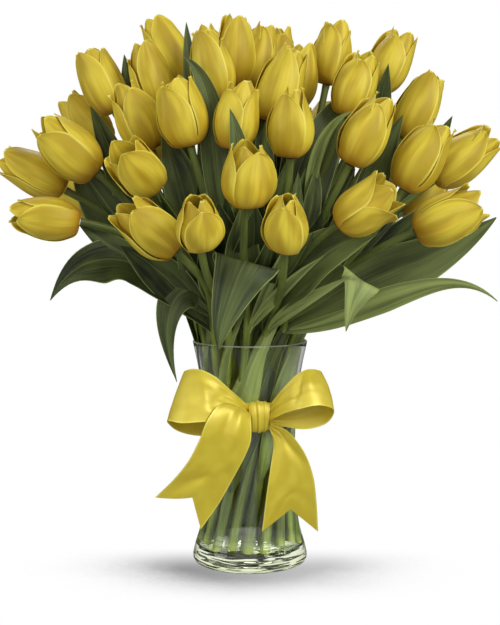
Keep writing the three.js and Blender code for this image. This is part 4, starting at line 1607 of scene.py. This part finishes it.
@dataclass(frozen=True)
class Strip:
    """A loop or a tail between two edges, given as across, up and depth from its held end.

    The phase of its folds is in radians.
    """

    part: str
    upper: tuple
    lower: tuple
    pleats: float
    pleat_reach: float
    swell: float
    phase: float
    dents: tuple[Dent, ...]
    notch: float = 0.0
    ends_held: bool = False
    rows: int = 96
    columns: int = 29
    half: float = 0.25
    wave: float = 0.35
    draw: float = 0.3
    width: float = RIBBON_WIDTH
    notch_from: float = 0.6
    fold_counts: Span = (2.7, 4.6)
    fold_shares: Span = (0.6, 0.4)
    wave_counts: Span = (9, 2.2)

    def grid(self) -> tuple[np.ndarray, float]:
        """Shapes the strip.

        Returns:
            Its middle surface and the length of its middle line.
        """
        shares = np.linspace(0, 1, self.rows)
        edges = (np.array([EYE.placed(*point) for point in edge]) for edge in (self.upper, self.lower))
        upper, lower = (spline(edge, shares)[:, None] for edge in edges)
        t = np.linspace(0, 1, self.columns)[None, :, None]
        grid = upper * (1 - t) + lower * t
        length = float(np.linalg.norm(np.diff(grid[:, self.columns // 2], axis=0), axis=1).sum())
        u, t = shares[:, None], 2 * t[..., 0] - 1
        if self.notch:
            heading = unit(np.gradient(grid, axis=0))
            cut = self.notch * (1 - np.abs(t)) * eased(shares, self.notch_from, 1.0)[:, None]
            grid = grid - heading * cut[..., None]
        normal = unit(np.cross(np.gradient(grid, axis=0), np.gradient(grid, axis=1)))
        held = np.exp(-u / self.pleat_reach)
        if self.ends_held:
            held = held + np.exp(-(1 - u) / self.pleat_reach)
        wide, narrow = (count * math.pi * t for count in self.fold_counts)
        much, little = self.fold_shares
        folds = np.cos(wide + self.phase) * much + np.cos(narrow - 2 * self.phase) * little
        free = np.sqrt(np.sin(math.pi * np.clip(u, 0, 1 if self.ends_held else 0.5)))
        lift = self.pleats * folds * held * (1 - t**6) + self.swell * (1 - t**2) * free
        along, across = self.wave_counts
        lift = lift + self.wave * np.sin(along * u + across * t) * free
        for dent in self.dents:
            lift = lift + dent.lift(u, t)
        return grid + normal * lift[..., None], length

    def build(self, material: bpy.types.Material) -> None:
        """Makes the strip.

        Args:
            material: The satin.
        """
        grid, length = self.grid()
        draft = Draft()
        thick = np.full(grid.shape[:2], self.half)
        draft.add_sheet(grid, thick, np.linspace(0, 1, self.rows) * length / self.width, self.draw)
        piece = draft.settle(f"ribbon_{self.part}", Slot.SATIN, f"bow_{self.part}", material)
        flat = (self.width * MM, length * MM)
        area = self.width * (length - self.notch / 2) * MM * MM


@dataclass(frozen=True)
class Pleat:
    """A wave of the knot's surface across it, which sways on the way round, in radians."""

    height: float
    count: float
    phase: float
    sway: float


@dataclass(frozen=True)
class Bow:
    """The satin ribbon: a band round the vase, a knot, two loops and two tails.

    The knot's spread is the surface coordinate at its edge, the one that a radian round it adds, and
    its draw.
    """

    vase: Vase
    band: Span = (114, 135)
    band_steps: int = 40
    band_fold: float = 0.9
    band_fold_turn: float = 0.57
    band_back: float = 0.3
    band_front: float = 0.75
    band_cloth: float = 30
    knot: Triple = (7.6, 117.6, -46.6)
    knot_half: Triple = (8.4, 5.8, 12.4)
    knot_grid: tuple[int, int] = (48, 33)
    knot_pleats: tuple[Pleat, ...] = (Pleat(0.36, 3.1, 0.0, 1.2), Pleat(0.2, 5.7, 1.0, 2.0))
    knot_waist: float = 0.14
    knot_lean: float = 0.9
    knot_crease: float = 70
    knot_spread: Triple = (0.9, 2 / 6.3, 0.4)
    strips: tuple[Strip, ...] = (
        Strip(
            "loop_left",
            upper=(
                (-1, 126, -47), (-15, 139, -56), (-31, 152, -60), (-44, 156.5, -57),
                (-53, 154, -49), (-46, 150, -41), (-28, 142, -40.5), (-1, 124, -43),
            ),
            lower=(
                (-1, 112, -50), (-17, 113, -66), (-38, 113.5, -76), (-55, 112.5, -75),
                (-66.5, 114, -63), (-58, 106, -53), (-36, 102, -47), (-1, 111, -44),
            ),
            pleats=2.0,
            pleat_reach=0.13,
            swell=1.2,
            phase=0.7,
            dents=(Dent(0.3, 0.1, 0.045, 0.9, 0.05, 2.0), Dent(0.2, -0.3, 0.04, 0.5, -0.08, -1.6)),
            ends_held=True,
        ),
        Strip(
            "loop_right",
            upper=(
                (16, 127, -47), (28, 142, -56), (40, 153.5, -60), (50, 156.5, -56),
                (57.5, 154, -48), (50, 150, -41), (34, 143, -40), (16, 125, -43),
            ),
            lower=(
                (16, 115, -50), (29, 121, -64), (42, 124.5, -73), (56, 127, -72),
                (68, 123, -61), (62, 112.5, -52), (45, 107.5, -47), (16, 112, -44),
            ),
            pleats=-1.8,
            pleat_reach=0.13,
            swell=-1.2,
            phase=2.3,
            dents=(Dent(0.27, -0.1, 0.03, 0.6, 0.04, 1.8), Dent(0.36, -0.4, 0.05, 0.7, 0.0, -1.8)),
            ends_held=True,
        ),
        Strip(
            "tail_left",
            upper=(
                (-8, 127, -51), (-24, 128, -70), (-35, 114, -78), (-41, 99, -78),
                (-50, 81, -75), (-62, 66, -68), (-77, 51.5, -58),
            ),
            lower=(
                (0, 119, -52), (0.5, 116, -62), (0.8, 99, -66), (-4, 86, -65),
                (-13, 69, -62), (-25, 47, -60), (-40, 25, -58),
            ),
            pleats=0.7,
            pleat_reach=0.2,
            swell=1.5,
            phase=1.4,
            dents=(
                Dent(0.3, 0.3, 0.16, 0.24, 0.0, 2.6), Dent(0.3, -0.2, 0.14, 0.2, 0.0, -1.6),
                Dent(0.62, 0.4, 0.1, 0.4, 0.25, 1.4), Dent(0.8, -0.2, 0.09, 0.6, 0.2, -1.8),
            ),
            notch=19,
        ),
        Strip(
            "tail_right",
            upper=(
                (16, 107.5, -49.5), (19, 96, -54), (17, 78, -58), (14, 58, -58),
                (12, 42, -55), (9.6, 23.4, -51),
            ),
            lower=(
                (17.5, 112, -50), (30, 106, -60), (43, 90, -64), (51, 70, -62),
                (54, 48, -57), (55.5, 23, -50),
            ),
            pleats=1.4,
            pleat_reach=0.16,
            swell=-1.5,
            phase=0.2,
            dents=(Dent(0.35, 0.4, 0.1, 0.5, -0.3, -1.8), Dent(0.68, -0.1, 0.1, 0.6, 0.25, 1.8)),
            notch=19,
        ),
    )

    def build_band(self, material: bpy.types.Material) -> None:
        """Makes the band, gathered into shallow folds round the vase.

        Args:
            material: The satin.
        """
        low, high = self.band
        up = np.linspace(low, high, self.band_steps)
        fold = self.band_fold * np.abs(np.sin((up - low) * self.band_fold_turn)) ** 0.7
        out = self.vase.radius(up) + self.band_front + fold
        back = self.vase.radius(up) + self.band_back
        draft = Draft()
        outline = np.vstack([np.stack([out, up], axis=1), np.stack([back, up], axis=1)[::-1]])
        draft.add_turned(outline, self.vase.segments)
        piece = draft.settle("ribbon_round_vase", Slot.SATIN, "ribbon_band", material)

    def build_knot(self, material: bpy.types.Material) -> None:
        """Makes the knot, a short ribbon wrapped upright round the bow's middle, in pleats.

        Args:
            material: The satin.
        """
        x, y, z = EYE.placed(*self.knot)
        wide, deep_half, tall_half = self.knot_half
        steps, columns = self.knot_grid
        angle = np.linspace(0, 2 * math.pi, steps, endpoint=False)[:, None]
        t = np.linspace(-1, 1, columns)[None, :]
        pleats = sum(
            pleat.height * np.cos(pleat.count * math.pi * t + pleat.phase + pleat.sway * np.cos(angle))
            for pleat in self.knot_pleats
        )
        pleats = pleats * (1 - t**4)
        bulge = 1 - self.knot_waist * t**2
        tall = (tall_half * bulge + pleats) * np.cos(angle)
        deep = (deep_half * bulge + pleats) * np.sin(angle)
        narrow = wide - self.knot_lean * (1 - tall / tall_half)
        across = t * narrow + self.knot_lean * np.minimum(0, tall / tall_half)
        points = np.stack([x + across, y - deep, z + tall], axis=-1).reshape(-1, 3)
        index = np.arange(steps * columns).reshape(steps, columns)
        onward = np.roll(index, -1, axis=0)
        faces = np.stack([index[:, :-1], index[:, 1:], onward[:, 1:], onward[:, :-1]], axis=-1)
        faces = faces.reshape(-1, 4).tolist() + [index[:, 0].tolist(), index[::-1, -1].tolist()]
        edge, gain, draw = self.knot_spread
        blade = np.broadcast_arrays(t * edge, angle * gain, np.full_like(t, draw))
        blade = np.stack(blade, axis=-1)
        draft = Draft()
        draft.add(points, faces, blade.reshape(-1, 3), np.ones(len(points)))
        draft.settle("bow_knot", Slot.SATIN, "ribbon_knot", material, crease=self.knot_crease)

    def build(self, material: bpy.types.Material) -> None:
        """Makes the whole bow.

        Args:
            material: The satin.
        """
        self.build_band(material)
        self.build_knot(material)
        for strip in self.strips:
            strip.build(material)


@dataclass(frozen=True)
class Lamp:
    """A square soft light that looks at the bunch's middle, in metres and watts."""

    name: str
    place: Triple
    size: float
    power: float
    aim: Triple = (0, 0, 0.22)

    def build(self) -> None:
        """Makes the light."""
        data = bpy.data.lights.new(self.name, "AREA")
        data.size = self.size
        data.energy = self.power
        light = linked(self.name, data)
        light.location = self.place
        x, y, z = np.array(self.aim) - np.array(self.place)
        light.rotation_euler = (math.atan2(math.hypot(x, y), -z), 0, math.atan2(y, x) - math.pi / 2)


@dataclass(frozen=True)
class Studio:
    """A pale floor, soft lights and the camera at the photograph's viewing angle.

    Lengths on the floor are metres.
    """

    focal_pixels: float = 1281
    tilt: float = 5.08
    sensor: float = 36
    floor_half: float = 12
    surroundings: float = 0.25
    mirrored: float = 0.1
    glassy: float = 0.4
    through: float = 0.95
    shade_reach: float = 0.3
    shade_range: Span = (0.62, 0.8)
    shade_depth: Span = (0.01, 0.08)
    shade_front: float = 0.04
    deepest_shade: float = 0.68
    shade_sides: Span = (-0.05, 0.05)
    lighter_side: float = 0.3
    floor_grey: float = 0.5
    mirrored_grey: float = 0.08
    far_grey: float = 0.7
    grey_reach: Span = (0.08, 0.45)
    roughness: float = 0.9
    lamps: tuple[Lamp, ...] = (
        Lamp("key", (1.15, -1.25, 1.05), 0.8, 19),
        Lamp("left", (-1.5, -0.7, 0.75), 0.9, 7),
        Lamp("front", (-0.3, -1.9, 0.9), 1.8, 8),
        Lamp("back", (-0.2, 1.1, 1.5), 1.0, 12),
    )

    def build_camera(self) -> None:
        """Makes the camera."""
        data = bpy.data.cameras.new("camera")
        data.sensor_width = self.sensor
        data.lens = self.focal_pixels * self.sensor / max(PICTURE)
        camera = linked("camera", data)
        camera.location = (0, -EYE.distance * MM, EYE.height * MM)
        camera.rotation_euler = (math.radians(90 - self.tilt), 0, 0)
        bpy.context.scene.camera = camera

    def floor_finish(self) -> bpy.types.Material:
        """Makes the floor's material: pale, with a painted shadow under the vase where the camera sees it,
        and painted shade near the vase for rays through the glass.

        Returns:
            The finished material.
        """
        surface = Surface("floor")
        place = surface.node("ShaderNodeTexCoord").outputs["Object"]
        spot = surface.node("ShaderNodeSeparateXYZ", None, {0: place})
        x, y = (Field(surface, spot.outputs[number]) for number in (0, 1))
        openness = surface.node("ShaderNodeAmbientOcclusion", {"samples": 32}, {"Distance": self.shade_reach})
        # Painted shadow: occlusion darkens the floor's glow in a band across the vase's foot, a little in
        # front of its axis, and deeper on the left.
        shade = 1.0 - Field(surface, openness.outputs["AO"]).eased(*self.shade_range)
        shade = shade * (1.0 - (y + self.shade_front).size().eased(*self.shade_depth)) * self.deepest_shade
        light = 1.0 - shade * (1.0 - x.eased(*self.shade_sides) * self.lighter_side)
        # Painted shade for rays through the glass: the floor's grey darkens towards the vase.
        away = ((x**2 + y**2) ** 0.5).eased(*self.grey_reach)
        far = away * (self.far_grey - self.mirrored_grey) + self.mirrored_grey
        greys = [(grey, grey, grey, 1) for grey in (self.floor_grey, self.mirrored_grey)]
        plain, mirrored, through = (
            surface.shader("ShaderNodeBsdfPrincipled", {"Base Color": grey, "Roughness": self.roughness})
            for grey in (*greys, far)
        )
        # The camera sees the floor as a glow with the painted shadow in it.
        seen = surface.shader("ShaderNodeEmission", {"Color": light})
        others = {"Is Glossy Ray": mirrored, "Is Transmission Ray": through, "Is Camera Ray": seen}
        return surface.close(surface.by_ray(plain, others))

    def build_floor(self) -> None:
        """Makes the floor."""
        mesh = bpy.data.meshes.new("floor")
        corners = np.array([(-1, -1, 0), (1, -1, 0), (1, 1, 0), (-1, 1, 0)]) * self.floor_half
        mesh.from_pydata(corners.tolist(), [], [(0, 1, 2, 3)])
        mesh.materials.append(self.floor_finish())
        linked("floor", mesh)

    def build_world(self) -> None:
        """Makes the white surroundings, dimmer as a light than as seen."""
        surface = Surface("surroundings", world=True)
        bpy.context.scene.world = surface.owner
        strengths = {
            "Is Glossy Ray": self.mirrored,
            "Is Singular Ray": self.glassy,
            "Is Transmission Ray": self.through,
            "Is Camera Ray": 1.0,
        }
        usual, *others = (
            surface.shader("ShaderNodeBackground", {"Color": (1, 1, 1, 1), "Strength": strength})
            for strength in (self.surroundings, *strengths.values())
        )
        surface.close(surface.by_ray(usual, dict(zip(strengths, others))), "ShaderNodeOutputWorld")

    def build(self) -> None:
        """Makes the whole studio."""
        bpy.context.scene.view_settings.view_transform = "Standard"
        self.build_camera()
        self.build_floor()
        self.build_world()
        for lamp in self.lamps:
            lamp.build()


def main() -> None:
    """Builds the studio and every piece."""
    logging.basicConfig(level=logging.INFO, format="%(name)s: %(message)s")
    Studio().build()
    vase = Vase()
    vase.build_glass(GLASS.build())
    vase.build_water(WATER.build())
    Bow(vase).build(SatinFinish().build())
    petal, heart = PetalFinish().build(), HeartFinish().build()
    tulips = tuple(Tulip(number + 1, *row) for number, row in enumerate(BLOOM_ROWS))
    for tulip in tulips:
        tulip.build(petal, heart)
    stems = Stems(tulips)
    stems.build(StemFinish().build())
    Foliage(stems, vase).build(LeafFinish().build())


if __name__ == "__main__":
    main()
